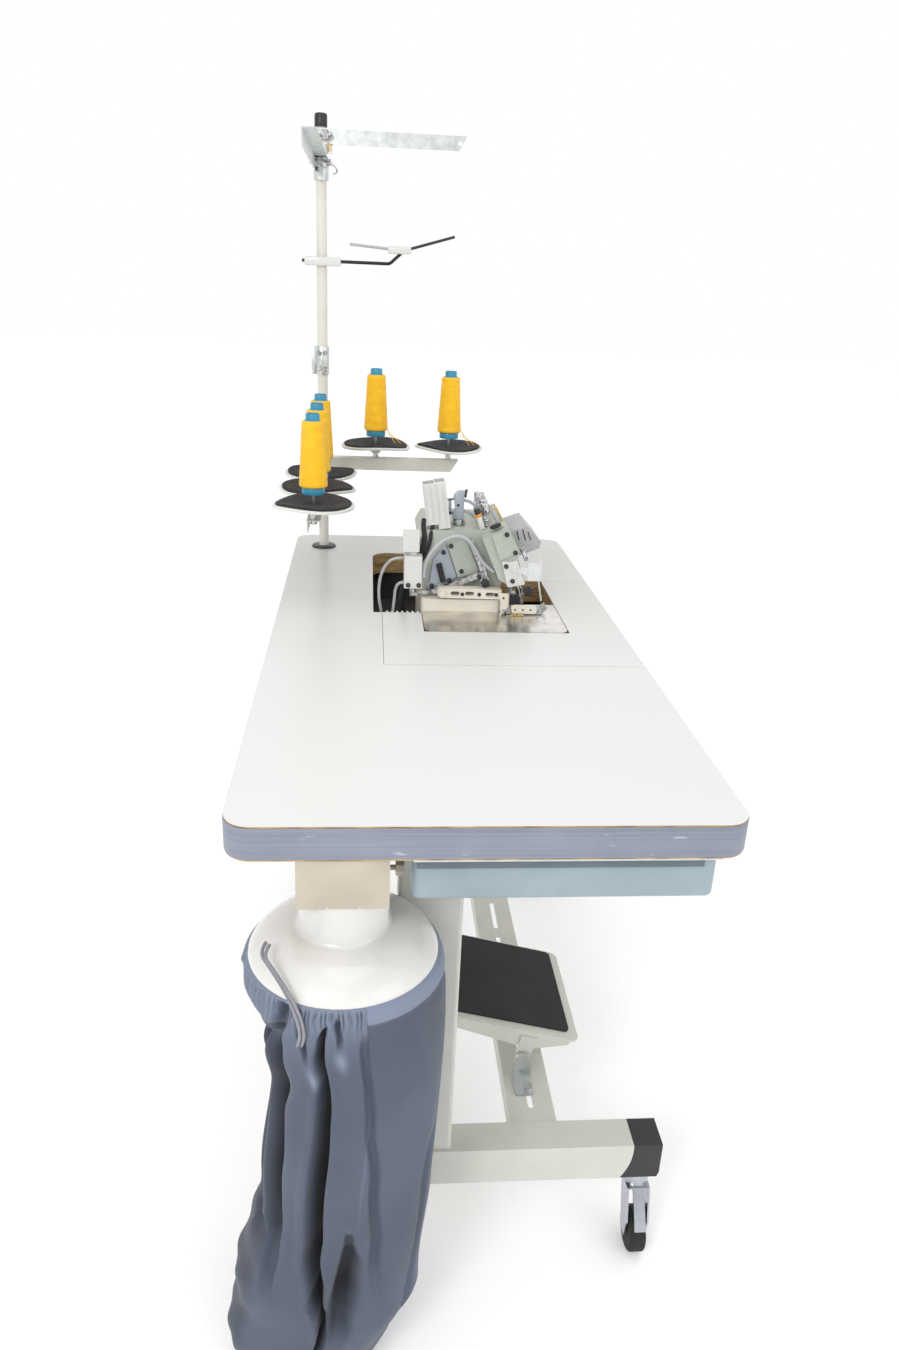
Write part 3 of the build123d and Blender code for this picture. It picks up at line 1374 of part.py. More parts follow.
pan_floor = tray_z0 + tray_t
upper_air = [
    (141, 60.3, 876), (141, 75, 876), (141, 89, 866), (141, 97, 850), (141, 101, 830), (141, 101, 808),
    (141, 97, 784), (142, 92, 760), (144, 88, 734), (145, 87, pan_floor + 0.4),
]
lower_air = [
    (134, 60.3, 836), (134, 68, 836), (134, 74, 826), (134, 75, 812), (133, 77, 790), (132, 80, 765),
    (131, 83, 735), (130, 84, pan_floor + 0.4),
]
grey_hose = [
    (132, 27.7, 846), (132, 27.6, 857), (132, 25, 870), (132, 19, 884), (132, 8, 900), (132, -8, 912),
    (132, -25, 917), (132, -41, 912), (132, -53, 898), (132, -62, 882), (132, -73, 867), (132, -88, 857),
]
with BuildPart() as hoses_and_cables:
    add(tube(upper_air, 2.5, "upper air tube"))
    add(tube(lower_air, 2.5, "lower air tube"))
    add(tube(grey_hose, 3, "grey hose"))
save(hoses_and_cables, "hoses_and_cables")
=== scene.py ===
# %% [markdown]
# # An overlock sewing machine on its wheeled table
# The machine has three kinds of piece: hard parts that already come from the CAD frame, soft goods
# such as the waste bag, and small trim on the sewing head.  The CAD parts stay where they are and get
# a finish.  Soft goods and trim are modelled here, each in its own cell, in metres, in the CAD's frame.

# %% Load the frame
import math

import bmesh
import bpy
from mathutils import Matrix, Vector


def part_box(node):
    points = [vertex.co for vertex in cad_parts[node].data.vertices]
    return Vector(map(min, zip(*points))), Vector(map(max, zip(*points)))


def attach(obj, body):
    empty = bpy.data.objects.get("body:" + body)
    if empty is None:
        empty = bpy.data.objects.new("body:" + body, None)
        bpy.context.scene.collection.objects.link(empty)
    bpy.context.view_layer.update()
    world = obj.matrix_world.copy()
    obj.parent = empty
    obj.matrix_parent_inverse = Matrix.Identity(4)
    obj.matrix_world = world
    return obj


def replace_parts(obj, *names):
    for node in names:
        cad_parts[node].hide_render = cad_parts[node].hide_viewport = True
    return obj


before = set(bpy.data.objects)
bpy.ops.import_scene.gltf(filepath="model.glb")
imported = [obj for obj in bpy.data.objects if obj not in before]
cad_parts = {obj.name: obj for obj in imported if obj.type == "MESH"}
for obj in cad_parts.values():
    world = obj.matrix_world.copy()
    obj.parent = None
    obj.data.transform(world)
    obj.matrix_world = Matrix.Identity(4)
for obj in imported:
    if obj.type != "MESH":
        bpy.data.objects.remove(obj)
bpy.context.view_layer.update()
print("frame holds", len(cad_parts), "nodes")

# %% [markdown]
# ## The camera
# The machine is seen along its table from the waste-bag end, from a little above the table.  Three
# turns describe such a view: to the side, down, and a small roll of the camera itself.  The camera's
# three axes are worked out from those angles, which is easier to read than Euler angles.

# %% Camera
camera_place = Vector((-1.43682, 0.12136, 1.30324))
aside = math.radians(-5.245)
down_turn = math.radians(21.81)
roll = math.radians(2.469)
ahead = Vector((
    math.cos(aside) * math.cos(down_turn), math.sin(aside) * math.cos(down_turn), -math.sin(down_turn),
))
level_right = Vector((math.sin(aside), -math.cos(aside), 0))
level_down = ahead.cross(level_right)
right = math.cos(roll) * level_right - math.sin(roll) * level_down
below = math.sin(roll) * level_right + math.cos(roll) * level_down
turn = Matrix((right, -below, -ahead)).transposed().to_4x4()
bpy.ops.object.camera_add()
camera = bpy.context.object
camera.name = "view_camera"
camera.matrix_world = Matrix.Translation(camera_place) @ turn
camera.data.lens = 26.38
camera.data.sensor_width = 36
camera.data.clip_end = 50
bpy.context.scene.camera = camera
print("camera lens", camera.data.lens, "mm")

# %% [markdown]
# ## Floor and light
# A plain pale floor and broad soft lights show the shapes without hard shadows; the floor isn't part
# of the machine.  Two small helpers come first: plug fills one input of a shader node, and feed fills
# several by name.  Every finish below is made with them.

# %% Floor and studio light
def clear_selection():
    """Back to object mode with nothing selected, as every new piece starts."""
    if bpy.context.mode != "OBJECT":
        bpy.ops.object.mode_set(mode="OBJECT")
    bpy.ops.object.select_all(action="DESELECT")


def plug(socket, value):
    """Fill one input: a socket is linked in, a plain value is typed in."""
    if isinstance(value, bpy.types.NodeSocket):
        socket.id_data.links.new(value, socket)
    else:
        socket.default_value = value


def feed(node, **inputs):
    """Fill a node's inputs by name, with _ for a space."""
    for name, value in inputs.items():
        plug(node.inputs[name.replace("_", " ")], value)
    return node


clear_selection()
bpy.ops.mesh.primitive_plane_add(size=40, location=(0, 0, 0))
floor = bpy.context.object
floor.name = "studio_floor"
floor_paint = bpy.data.materials.new("floor_paint")
floor_paint.use_nodes = True
feed(
    floor_paint.node_tree.nodes["Principled BSDF"], Base_Color=(0.92, 0.92, 0.92, 1), Roughness=0.9,
    Emission_Color=(1, 1, 1, 1), Emission_Strength=0.12,
)
floor.data.materials.append(floor_paint)

world = bpy.data.worlds.new("studio_world")
world.use_nodes = True
feed(world.node_tree.nodes["Background"], Color=(1, 1, 1, 1), Strength=1.0)
bpy.context.scene.world = world
bpy.context.scene.view_settings.view_transform = "Standard"


def soft_light(name, place, aim, size, power):
    """A large area light at place that faces aim."""
    clear_selection()
    bpy.ops.object.light_add(type="AREA", location=place)
    lamp = bpy.context.object
    lamp.name = name
    lamp.data.shape = "DISK"
    lamp.data.size = size
    lamp.data.energy = power
    lamp.rotation_euler = (Vector(aim) - Vector(place)).to_track_quat("-Z", "Y").to_euler()


soft_light("key_light", (-2.4, 1.2, 2.2), (-0.4, 0.1, 0.6), 0.9, 24)
soft_light("fill_light", (-2.2, -2.2, 2.0), (-0.2, 0, 0.6), 2.0, 10)
soft_light("top_light", (-0.6, 0.0, 3.2), (-0.3, 0, 0.8), 1.6, 8)

# %% [markdown]
# ## Finishes
# Every finish starts from one Principled shader.  Real paint, plastic and metal are never quite even,
# so each gets a slow change of colour, a fine grain in its roughness and a slight bump.  They all read
# Object coordinates, which are metres on these pieces, so one grain has the same size everywhere.

# %% Helpers for finishes
def new_finish(name, color, rough, metal=0.0):
    """A material, its shader and the Object coordinates."""
    finish = bpy.data.materials.new(name)
    finish.use_nodes = True
    shader = finish.node_tree.nodes["Principled BSDF"]
    feed(shader, Base_Color=(*color, 1), Roughness=rough, Metallic=metal)
    return finish, shader, finish.node_tree.nodes.new("ShaderNodeTexCoord").outputs["Object"]


def add_node(kind, beside, **inputs):
    """A new node in the tree that holds this socket, with its inputs filled."""
    return feed(beside.id_data.nodes.new(kind), **inputs)


def noise(place, scale, detail=3.0, stretch=(1, 1, 1)):
    """Noise over the surface, stretched along the axes where asked."""
    spot = add_node("ShaderNodeMapping", place, Vector=place, Scale=stretch).outputs["Vector"]
    return add_node("ShaderNodeTexNoise", place, Vector=spot, Scale=scale, Detail=detail).outputs["Fac"]


def blend_colors(factor, first, second):
    """A colour between first and second, each a socket or plain numbers."""
    mix = factor.id_data.nodes.new("ShaderNodeMix")
    mix.data_type = "RGBA"
    feed(mix, Factor=factor)
    for socket, color in ((mix.inputs[6], first), (mix.inputs[7], second)):
        plug(socket, (*color, 1) if isinstance(color, tuple) else color)
    return mix.outputs[2]


def contrast(factor, low, high, out_low=0.0, out_high=1.0):
    """The part of factor between low and high, spread over out_low to out_high."""
    spread = add_node("ShaderNodeMapRange", factor, Value=factor, From_Min=low, From_Max=high)
    return feed(spread, To_Min=out_low, To_Max=out_high).outputs["Result"]


def patches(place, scale, detail=3.0, stretch=(1, 1, 1)):
    """Soft patches: the middle of the noise, spread from 0 to 1."""
    return contrast(noise(place, scale, detail, stretch), 0.3, 0.7)


def math_node(operation, first, second=0.0):
    """One Math node on a socket and a socket or number."""
    node = first.id_data.nodes.new("ShaderNodeMath")
    node.operation = operation
    plug(node.inputs[0], first)
    plug(node.inputs[1], second)
    return node.outputs["Value"]


def weigh(first, share, second):
    """Two sockets added, with this share of the first and the rest of the second."""
    return math_node("ADD", math_node("MULTIPLY", first, share), math_node("MULTIPLY", second, 1 - share))


def add_bump(shader, height, depth, strength=1.0):
    """Bump of this depth, in metres, from a height socket."""
    bump = add_node("ShaderNodeBump", height, Height=height, Distance=depth, Strength=strength)
    feed(shader, Normal=bump.outputs["Normal"])


def grained(name, dark, light, rough, grain=900.0, depth=0.00008, metal=0.0, patch=14.0):
    """Paint or plastic: slow patches of colour, fine grain in gloss and bump."""
    finish, shader, place = new_finish(name, light, rough, metal)
    fine = noise(place, grain, 2.0)
    shade = weigh(patches(place, patch), 0.7, fine)
    gloss = contrast(fine, 0.2, 0.8, rough - 0.06, rough + 0.08)
    feed(shader, Base_Color=blend_colors(shade, dark, light), Roughness=gloss)
    add_bump(shader, fine, depth)
    return finish

# %% [markdown]
# Steel comes in three states here: brushed or rolled, zinc plated with its cloudy flakes, and bright
# chrome.  Stretching the noise along one axis gives the brushed look.

# %% Metal finishes
def brushed(name, color, rough, stretch=(1, 1, 40), scale=90.0, patch=26.0, shade=0.72):
    """Rolled or brushed steel with fine lines along one axis."""
    finish, shader, place = new_finish(name, color, rough, 1.0)
    lines = noise(place, scale, 4.0, stretch)
    stain = contrast(noise(place, patch), 0.35, 0.62)
    dark = tuple(shade * channel for channel in color)
    gloss = contrast(lines, 0.3, 0.7, rough - 0.08, rough + 0.12)
    feed(shader, Base_Color=blend_colors(stain, dark, color), Roughness=gloss)
    add_bump(shader, lines, 0.00003)
    return finish


def zinc_plate(name):
    """Galvanised sheet: cloudy flakes of lighter and darker zinc."""
    finish, shader, place = new_finish(name, (0.72, 0.73, 0.73), 0.34, 1.0)
    flakes = add_node("ShaderNodeTexVoronoi", place, Vector=place, Scale=150.0)
    cloud = patches(place, 60.0)
    amount = math_node("ADD", math_node("MULTIPLY", flakes.outputs["Distance"], 0.5), cloud)
    color = blend_colors(amount, (0.5, 0.53, 0.52), (0.62, 0.65, 0.64))
    feed(shader, Base_Color=color, Roughness=contrast(cloud, 0.0, 1.0, 0.3, 0.42))
    return finish


chrome = brushed("bright_chrome", (0.66, 0.66, 0.67), 0.14, (1, 1, 1), 40, 150, 0.3)
zinc = zinc_plate("zinc_plate")
plate_steel = brushed("polished_plate_steel", (0.8, 0.77, 0.73), 0.2, (60, 1, 1), 70)
fork_steel = grained("caster_fork_steel", (0.34, 0.36, 0.4), (0.62, 0.64, 0.68), 0.26, 45, 0, metal=1)
tool_steel = brushed("tool_steel", (0.55, 0.55, 0.55), 0.3, (1, 30, 1), 80)
black_screw = grained("blackened_screw", (0.012, 0.012, 0.014), (0.04, 0.04, 0.045), 0.38, metal=0.6)
brass = brushed("spring_brass", (0.82, 0.6, 0.24), 0.28, (1, 1, 20), 90)

# %% Paint and plastic finishes
stand_paint = grained("stand_powder_coat", (0.55, 0.55, 0.5), (0.63, 0.63, 0.58), 0.42, 1500, 0.00006)
cream_paint = grained("cream_paint", (0.58, 0.57, 0.51), (0.68, 0.67, 0.6), 0.36, 1200, 0.00004)
tan_bracket = grained("tan_bracket_paint", (0.4, 0.35, 0.28), (0.52, 0.47, 0.39), 0.5, 2200, 0.00006)
green_casting = grained("grey_green_hammer_paint", (0.36, 0.39, 0.34), (0.46, 0.49, 0.43), 0.4, 700, 0.00016)
beige_casting = grained("beige_casting_paint", (0.6, 0.55, 0.46), (0.7, 0.66, 0.57), 0.38, 800, 0.00012)
white_enamel = grained("white_enamel", (0.58, 0.58, 0.56), (0.69, 0.69, 0.67), 0.28, 900, 0.00004)
panel_plastic = grained("ribbed_panel_plastic", (0.34, 0.35, 0.35), (0.44, 0.45, 0.45), 0.38)
drawer_plastic = grained(
    "blue_grey_drawer_plastic", (0.24, 0.31, 0.35), (0.31, 0.39, 0.43), 0.36, 1800, 0.00005,
)
black_plastic = grained("black_moulded_plastic", (0.01, 0.01, 0.011), (0.024, 0.024, 0.026), 0.36)
black_rubber = grained("black_rubber", (0.01, 0.01, 0.01), (0.022, 0.022, 0.022), 0.75, 1600, 0.0002)
pan_paint = grained("black_pan_paint", (0.02, 0.02, 0.02), (0.06, 0.055, 0.05), 0.55, 300, 0.0002)
duct_plastic = grained("white_duct_plastic", (0.56, 0.56, 0.53), (0.68, 0.68, 0.65), 0.34)
core_blue = grained("blue_core_plastic", (0.02, 0.2, 0.34), (0.03, 0.28, 0.45), 0.34)

# %% [markdown]
# The funnel is glossy moulded plastic.  A clear coat over a faintly uneven base gives the soft, bright
# reflections that such a hood shows.

# %% Glossy and clear plastics
def glossy_hood(name):
    """Cream white moulded plastic under a clear gloss."""
    finish, shader, place = new_finish(name, (0.86, 0.85, 0.81), 0.22)
    cream = blend_colors(patches(place, 9.0), (0.62, 0.61, 0.58), (0.72, 0.71, 0.69))
    feed(shader, Base_Color=cream, Coat_Weight=0.5, Coat_Roughness=0.06)
    add_bump(shader, noise(place, 30.0), 0.0002)
    return finish


def clear_plastic(name, color, alpha, rough):
    """Clear tube or guard: mostly see-through, less so where it is dusty."""
    finish, shader, place = new_finish(name, color, rough)
    feed(shader, Alpha=contrast(noise(place, 60.0), 0.3, 0.75, alpha - 0.08, alpha + 0.12))
    return finish


hood_plastic = glossy_hood("funnel_gloss_plastic")
guard_plastic = clear_plastic("clear_guard_plastic", (0.8, 0.84, 0.84), 0.32, 0.12)
tube_plastic = clear_plastic("clear_tube_plastic", (0.5, 0.53, 0.54), 0.55, 0.2)
hose_grey = grained("grey_hose_plastic", (0.34, 0.35, 0.37), (0.46, 0.47, 0.5), 0.32)

# %% [markdown]
# ## The table top
# One CAD solid shows three surfaces: laminate on top, bare plywood in the cut-out, and a dark
# underside.  The face's own direction tells the shader which one it is on, so no mesh changes.

# %% Table finish
def split_axes(vector):
    """The X, Y and Z parts of a vector socket."""
    return add_node("ShaderNodeSeparateXYZ", vector, Vector=vector).outputs


def table_finish(name):
    """Speckled laminate on top, painted darker towards the far end as painted shade; plywood layers on the
    cut sides, brown board below.
    """
    finish, shader, place = new_finish(name, (0.8, 0.8, 0.79), 0.3)
    up = split_axes(add_node("ShaderNodeNewGeometry", place).outputs["Normal"])["Z"]
    top = contrast(up, 0.6, 0.9)
    bottom = contrast(up, -0.6, -0.9)
    speck = patches(place, 1400.0, 1.0)
    near = blend_colors(speck, (0.62, 0.62, 0.61), (0.72, 0.72, 0.71))
    # painted shade: the laminate is painted darker towards the far end of the table
    far_shade = blend_colors(speck, (0.5, 0.49, 0.47), (0.6, 0.59, 0.57))
    laminate = blend_colors(contrast(split_axes(place)["X"], -0.15, 0.45), near, far_shade)
    layers = contrast(noise(place, 30.0, 3.0, (1, 1, 9)), 0.35, 0.65)
    plywood = blend_colors(layers, (0.24, 0.14, 0.05), (0.5, 0.35, 0.17))
    sides = blend_colors(bottom, plywood, (0.3, 0.22, 0.14))
    gloss = contrast(top, 0.0, 1.0, 0.75, 0.27)
    feed(shader, Base_Color=blend_colors(top, sides, laminate), Roughness=gloss)
    add_bump(shader, speck, 0.00002)
    return finish


laminate = table_finish("speckled_laminate_and_plywood")

# %% [markdown]
# ## Dressing the CAD nodes
# A node keeps its mesh and takes a finish in its material slots.

# %% Dress the CAD nodes
def dress(finish, *names):
    """Give these CAD nodes a finish."""
    for name in names:
        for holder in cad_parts[name].material_slots:
            holder.material = finish


for corner in ("front_left", "rear_left", "front_right", "rear_right"):
    dress(black_rubber, f"caster_wheel_{corner}")
    dress(fork_steel, f"caster_fork_{corner}")
for finish, names in (
    (laminate, "table_top table_insert"),
    (pan_paint, "head_tray"),
    (stand_paint, "left_leg right_leg stretcher_bar treadle_plate"),
    (black_plastic, "foot_end_caps mid_guide handwheel"),
    (black_rubber, "treadle_mat"),
    (zinc, "treadle_brackets pitman_rod drawer_runners top_guide_arms"),
    (cream_paint, "pole_tubes spool_arms control_box"),
    (drawer_plastic, "drawer"),
    (tan_bracket, "funnel_bracket"),
    (beige_casting, "bed_casting presser_arm"),
    (green_casting, "arm_casting casting_covers"),
    (white_enamel, "face_cover air_cylinder"),
    (panel_plastic, "control_panel motor_housing"),
    (plate_steel, "cloth_plate"),
    (tool_steel, "presser_foot feed_dogs upper_looper lower_looper upper_knife main_shaft"),
    (chrome, "foot_lifter needle_bar air_rod"),
    (black_screw, "cover_screws"),
    (duct_plastic, "cable_duct"),
    (guard_plastic, "eye_guard"),
):
    dress(finish, *names.split())

# %% [markdown]
# ## Helpers for modelled pieces
# A piece is finished when its place is in its mesh, its shading is smooth up to an angle, and it
# rides on the body that carries it.  Small outlines are drawn in millimetres, as on a workshop
# drawing, and mm turns them into metres.

# %% Helpers for pieces
STAND = "stand_and_head"


def mm(*points):
    """Points drawn in millimetres, as metres."""
    return [tuple(value / 1000 for value in point) for point in points]


def edit_all():
    """Into edit mode with the whole mesh selected."""
    bpy.ops.object.mode_set(mode="EDIT")
    bpy.ops.mesh.select_all(action="SELECT")


def take(name):
    """Name the piece just made and put its place into its mesh."""
    if bpy.context.mode != "OBJECT":
        bpy.ops.object.mode_set(mode="OBJECT")
    piece = bpy.context.object
    piece.name = name
    piece.data.name = name
    bpy.ops.object.transform_apply(location=True, rotation=True, scale=True)
    return piece


def pick(*pieces):
    """Select these pieces alone; the first is the active one."""
    clear_selection()
    for piece in pieces:
        piece.select_set(True)
    bpy.context.view_layer.objects.active = pieces[0]


def complete(piece, finish, smooth=35.0, body=STAND):
    """Shade, paint and mount a finished piece."""
    pick(piece)
    bpy.ops.object.shade_smooth_by_angle(angle=math.radians(smooth))
    piece.data.materials.clear()
    piece.data.materials.append(finish)
    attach(piece, body)
    return piece


def apply_modifier(piece, kind, **settings):
    """Add a modifier with these settings and apply it."""
    modifier = piece.modifiers.new(kind.lower(), kind)
    for key, value in settings.items():
        setattr(modifier, key, value)
    bpy.context.view_layer.objects.active = piece
    bpy.ops.object.modifier_apply(modifier=modifier.name)


def lathe(name, profile, centre, steps):
    """Turn a profile of (radius, height) pairs: a ring is extruded and resized again and again."""
    clear_selection()
    radius, height = profile[0]
    start = (centre[0], centre[1], centre[2] + height)
    bpy.ops.mesh.primitive_circle_add(vertices=steps, radius=radius, location=start)
    edit_all()
    for next_radius, next_height in profile[1:]:
        rise = (0, 0, next_height - height)
        bpy.ops.mesh.extrude_edges_move(TRANSFORM_OT_translate={"value": rise})
        middle = (centre[0], centre[1], centre[2] + next_height)
        scale = next_radius / radius
        bpy.ops.transform.resize(value=(scale, scale, 1), center_override=middle)
        radius, height = next_radius, next_height
    edit_all()
    bpy.ops.mesh.remove_doubles(threshold=0.00001)
    bpy.ops.mesh.normals_make_consistent(inside=False)
    return take(name)


def block(name, low, high, round_edge=0.0008):
    """A box between two corners with its edges rounded."""
    clear_selection()
    middle = [(a + b) / 2 for a, b in zip(low, high)]
    size = [b - a for a, b in zip(low, high)]
    bpy.ops.mesh.primitive_cube_add(size=1, location=middle)
    bpy.context.object.scale = size
    piece = take(name)
    edit_all()
    bpy.ops.mesh.bevel(offset=round_edge, segments=2, affect="EDGES")
    bpy.ops.object.mode_set(mode="OBJECT")
    return piece


def rod(name, start, end, radius, steps=20, round_edge=None):
    """A round bar from start to end, its two rims rounded."""
    clear_selection()
    start, end = Vector(start), Vector(end)
    along = end - start
    bpy.ops.mesh.primitive_cylinder_add(
        vertices=steps, radius=radius, depth=along.length, location=(start + end) / 2,
        rotation=along.to_track_quat("Z", "Y").to_euler(),
    )
    bpy.ops.object.mode_set(mode="EDIT")
    bpy.ops.mesh.select_all(action="DESELECT")
    mesh = bmesh.from_edit_mesh(bpy.context.object.data)
    for face in mesh.faces:
        face.select = len(face.verts) > 4
    mesh.select_flush_mode()
    bmesh.update_edit_mesh(bpy.context.object.data)
    bpy.ops.mesh.bevel(offset=round_edge or radius * 0.18, segments=2, affect="EDGES")
    return take(name)


def hose(name, points, radius, steps=3):
    """A round hose or wire along a smooth line through given control points."""
    line = bpy.data.curves.new(name, "CURVE")
    line.dimensions = "3D"
    line.bevel_depth = radius
    line.bevel_resolution = steps
    line.use_fill_caps = True
    spline = line.splines.new("NURBS")
    spline.points.add(len(points) - 1)
    for control, point in zip(spline.points, points):
        control.co = (*point, 1)
    spline.order_u = 3
    spline.use_endpoint_u = True
    spline.resolution_u = 8
    piece = bpy.data.objects.new(name, line)
    bpy.context.scene.collection.objects.link(piece)
    pick(piece)
    bpy.ops.object.convert(target="MESH")
    return take(name)


def join(name, pieces):
    """Several pieces of one finish on one body become one."""
    pick(*pieces)
    bpy.ops.object.join()
    return take(name)

# %% [markdown]
# ## The waste funnel
# The hood is a spun shape: a straight neck that turns into a bell with a small double lip.  Drawing
# half the outline once and turning it is both the simplest way and how its mould was made.

# %% Waste funnel
low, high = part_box("waste_funnel")
funnel_axis = Vector((-0.514, 0.143, 0))
neck_radius = 0.05
rim_radius = 0.106
rim_height = low[2] + 0.006
bell_top = 0.64
bell = [(neck_radius, high[2])]
for part in range(4):
    bell.append((neck_radius, high[2] - (high[2] - bell_top - 0.003) * (part + 1) / 4))
for part in range(1, 19):
    sweep = part / 18
    reach = math.sin(sweep * math.pi / 2) ** 1.15
    drop = 1 - math.cos(sweep * math.pi / 2)
    radius = neck_radius + (rim_radius - neck_radius) * (0.35 * sweep + 0.65 * reach)
    bell.append((radius, bell_top - (bell_top - rim_height) * (0.25 * sweep + 0.75 * drop)))
bell += [(rim_radius, rim_height - 0.0015), (rim_radius - 0.0008, rim_height - 0.0026)]
bell.append((rim_radius - 0.0006, low[2]))
inner = [(radius - 0.003, height - 0.001) for radius, height in reversed(bell[:-2])]
hood = lathe("funnel_hood", bell + inner + [bell[0]], funnel_axis, 128)
stub_start = Vector((funnel_axis.x + neck_radius - 0.004, funnel_axis.y, 0.718))
stub = rod("inlet_stub", stub_start, (high[0], stub_start.y, stub_start.z), 0.022, 40)
funnel = complete(join("waste_funnel_shell", [hood, stub]), hood_plastic, 50)
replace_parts(funnel, "waste_funnel")
print("funnel rim", round(rim_radius * 2, 3), "m across")

# %% [markdown]
# ## The waste bag
# The bag is a tube of woven cloth, gathered by an elastic round the funnel's rim.  It hangs almost
# smooth on the operator's side, and in deep folds where the cloth is bunched.  A flat grid is wrapped
# into the tube, and each point is drawn inwards by the folds, which start as many small gathers under
# the elastic and merge into a few deep ones below.

# %% Cloth finish
def woven(name, dark, light):
    """Plain weave from two crossed bands on the cloth's own UV map, in thread widths."""
    finish, shader, place = new_finish(name, light, 0.82)
    flat = add_node("ShaderNodeUVMap", place).outputs["UV"]
    threads = []
    for direction in ("X", "Y"):
        band = add_node("ShaderNodeTexWave", place, Vector=flat, Scale=260.0, Distortion=0.6)
        band.bands_direction = direction
        threads.append(band.outputs["Fac"])
    weave = math_node("MAXIMUM", *threads)
    cloth = blend_colors(weigh(patches(place, 7.0, 4.0), 0.75, weave), dark, light)
    # two attributes of the bag paint light and shade into the cloth: a lighter blue for painted light and
    # painted highlights, near black for painted shade in the folds
    for layer, color in (("painted_light", (0.3, 0.35, 0.46)), ("painted_shade", (0.006, 0.007, 0.011))):
        mark = add_node("ShaderNodeAttribute", place)
        mark.attribute_name = layer
        cloth = blend_colors(mark.outputs["Fac"], cloth, color)
    feed(shader, Base_Color=cloth, Sheen_Weight=0.15, Sheen_Roughness=0.4)
    add_bump(shader, weave, 0.0001, 0.6)
    return finish


bag_cloth = woven("slate_woven_cloth", (0.05, 0.062, 0.092), (0.088, 0.108, 0.155))

# %% Bag outline and its folds
bag_rings = [
    (0.6055, -0.514, 0.143, 0.1056, 0.1056), (0.6, -0.514, 0.143, 0.1085, 0.109),
    (0.588, -0.514, 0.143, 0.111, 0.1125), (0.56, -0.516, 0.143, 0.107, 0.116),
    (0.45, -0.528, 0.127, 0.092, 0.099), (0.29, -0.529, 0.138, 0.093, 0.104),
    (0.12, -0.534, 0.162, 0.09, 0.117), (0.045, -0.542, 0.186, 0.082, 0.105),
    (0.018, -0.542, 0.188, 0.062, 0.082),
]
hem_depth = 0.02
# each fold runs down the cloth through rows of (height, angle, half width in degrees, depth)
deep_folds = {
    "middle_valley": [
        (0.588, 8, 1.2, 0), (0.56, 11, 1.9, 0.024), (0.53, 13, 2.4, 0.04), (0.44, 22, 4.2, 0.05),
        (0.37, 22, 5, 0.052), (0.3, 21, 4.8, 0.05), (0.25, 20, 4.6, 0.046), (0.18, 9.5, 4, 0.038),
        (0.138, 3, 2.8, 0.03), (0.06, 0, 2.4, 0.024), (0.018, 0, 2, 0.012),
    ],
    "side_hollow": [
        (0.575, 37, 3, 0), (0.55, 41, 6, 0.024), (0.5, 52, 9, 0.03), (0.434, 65, 8.5, 0.03),
        (0.358, 60, 8.5, 0.028), (0.3, 57, 8.5, 0.024), (0.258, 54, 7.5, 0.018), (0.2, 47, 6, 0.01),
        (0.15, 40, 5, 0),
    ],
    "foot_hollow": [
        (0.292, -1, 1.5, 0), (0.262, -3, 4, 0.014), (0.234, -5.5, 6.5, 0.024), (0.18, -7.5, 8, 0.03),
        (0.13, -8, 7, 0.022), (0.085, -8, 5, 0),
    ],
    "string_gap": [
        (0.603, 34, 3, 0), (0.592, 34, 4, 0.02), (0.576, 35, 4, 0.018), (0.555, 37, 3, 0),
    ],
    "left_gather": [
        (0.594, 23, 1, 0), (0.575, 22, 1.7, 0.011), (0.55, 20.5, 1.5, 0.009), (0.525, 21, 1, 0),
    ],
    "right_gather": [
        (0.597, 2, 1, 0), (0.582, 2, 1.7, 0.011), (0.568, 1, 1.5, 0.009), (0.545, 1, 1, 0),
    ],
    "smooth_edge": [
        (0.58, -13, 1.6, 0), (0.55, -12, 2.4, 0.006), (0.44, -9, 3.2, 0.007), (0.358, -16, 3.6, 0.008),
        (0.246, -21, 4, 0.007), (0.15, -30, 4, 0),
    ],
    "left_crumple": [
        (0.56, 66, 3, 0), (0.52, 76, 4, 0.01), (0.42, 84, 4, 0.008), (0.3, 80, 5, 0.006),
        (0.2, 70, 5, 0),
    ],
    "pocket_fold": [
        (0.262, 88, 9, 0), (0.246, 76, 12, 0.01), (0.232, 66, 9, 0.004), (0.215, 62, 8, 0),
    ],
}
# folds out of the camera's sight: angle, half width, depth, where it starts and ends
back_folds = [
    (-62, 5, 0.006, 0.42, 0.05), (-95, 6, 0.01, 0.54, 0.08), (-128, 7, 0.015, 0.56, 0.06),
    (-160, 6, 0.014, 0.565, 0.05), (166, 7, 0.018, 0.56, 0.04), (134, 6, 0.017, 0.57, 0.07),
    (108, 4.5, 0.013, 0.56, 0.2),
]


def smooth_step(value):
    """0 below 0, 1 above 1, and an even curve between."""
    share = min(1.0, max(0.0, value))
    return share * share * (3 - 2 * share)


def between_rows(rows, height):
    """The values of the two rows round this height, blended; the height is each row's first value."""
    for upper, lower in zip(rows, rows[1:]):
        if height >= lower[0]:
            ease = smooth_step((upper[0] - height) / (upper[0] - lower[0]))
            return [a + (b - a) * ease for a, b in zip(upper[1:], lower[1:])]


def ring_at(height):
    """The bag's centre and radii at one height, between the rings it was drawn with."""
    return between_rows(bag_rings, height) or bag_rings[-1][1:]


def fold_at(rows, height):
    """Angle, half width and depth of one fold at this height."""
    return between_rows(rows, height) if rows[-1][0] <= height <= rows[0][0] else (0.0, 1.0, 0.0)


def turned_from(angle, middle):
    """The angle between two directions, in degrees, from -180 to 180."""
    return (math.degrees(angle) - middle + 180) % 360 - 180


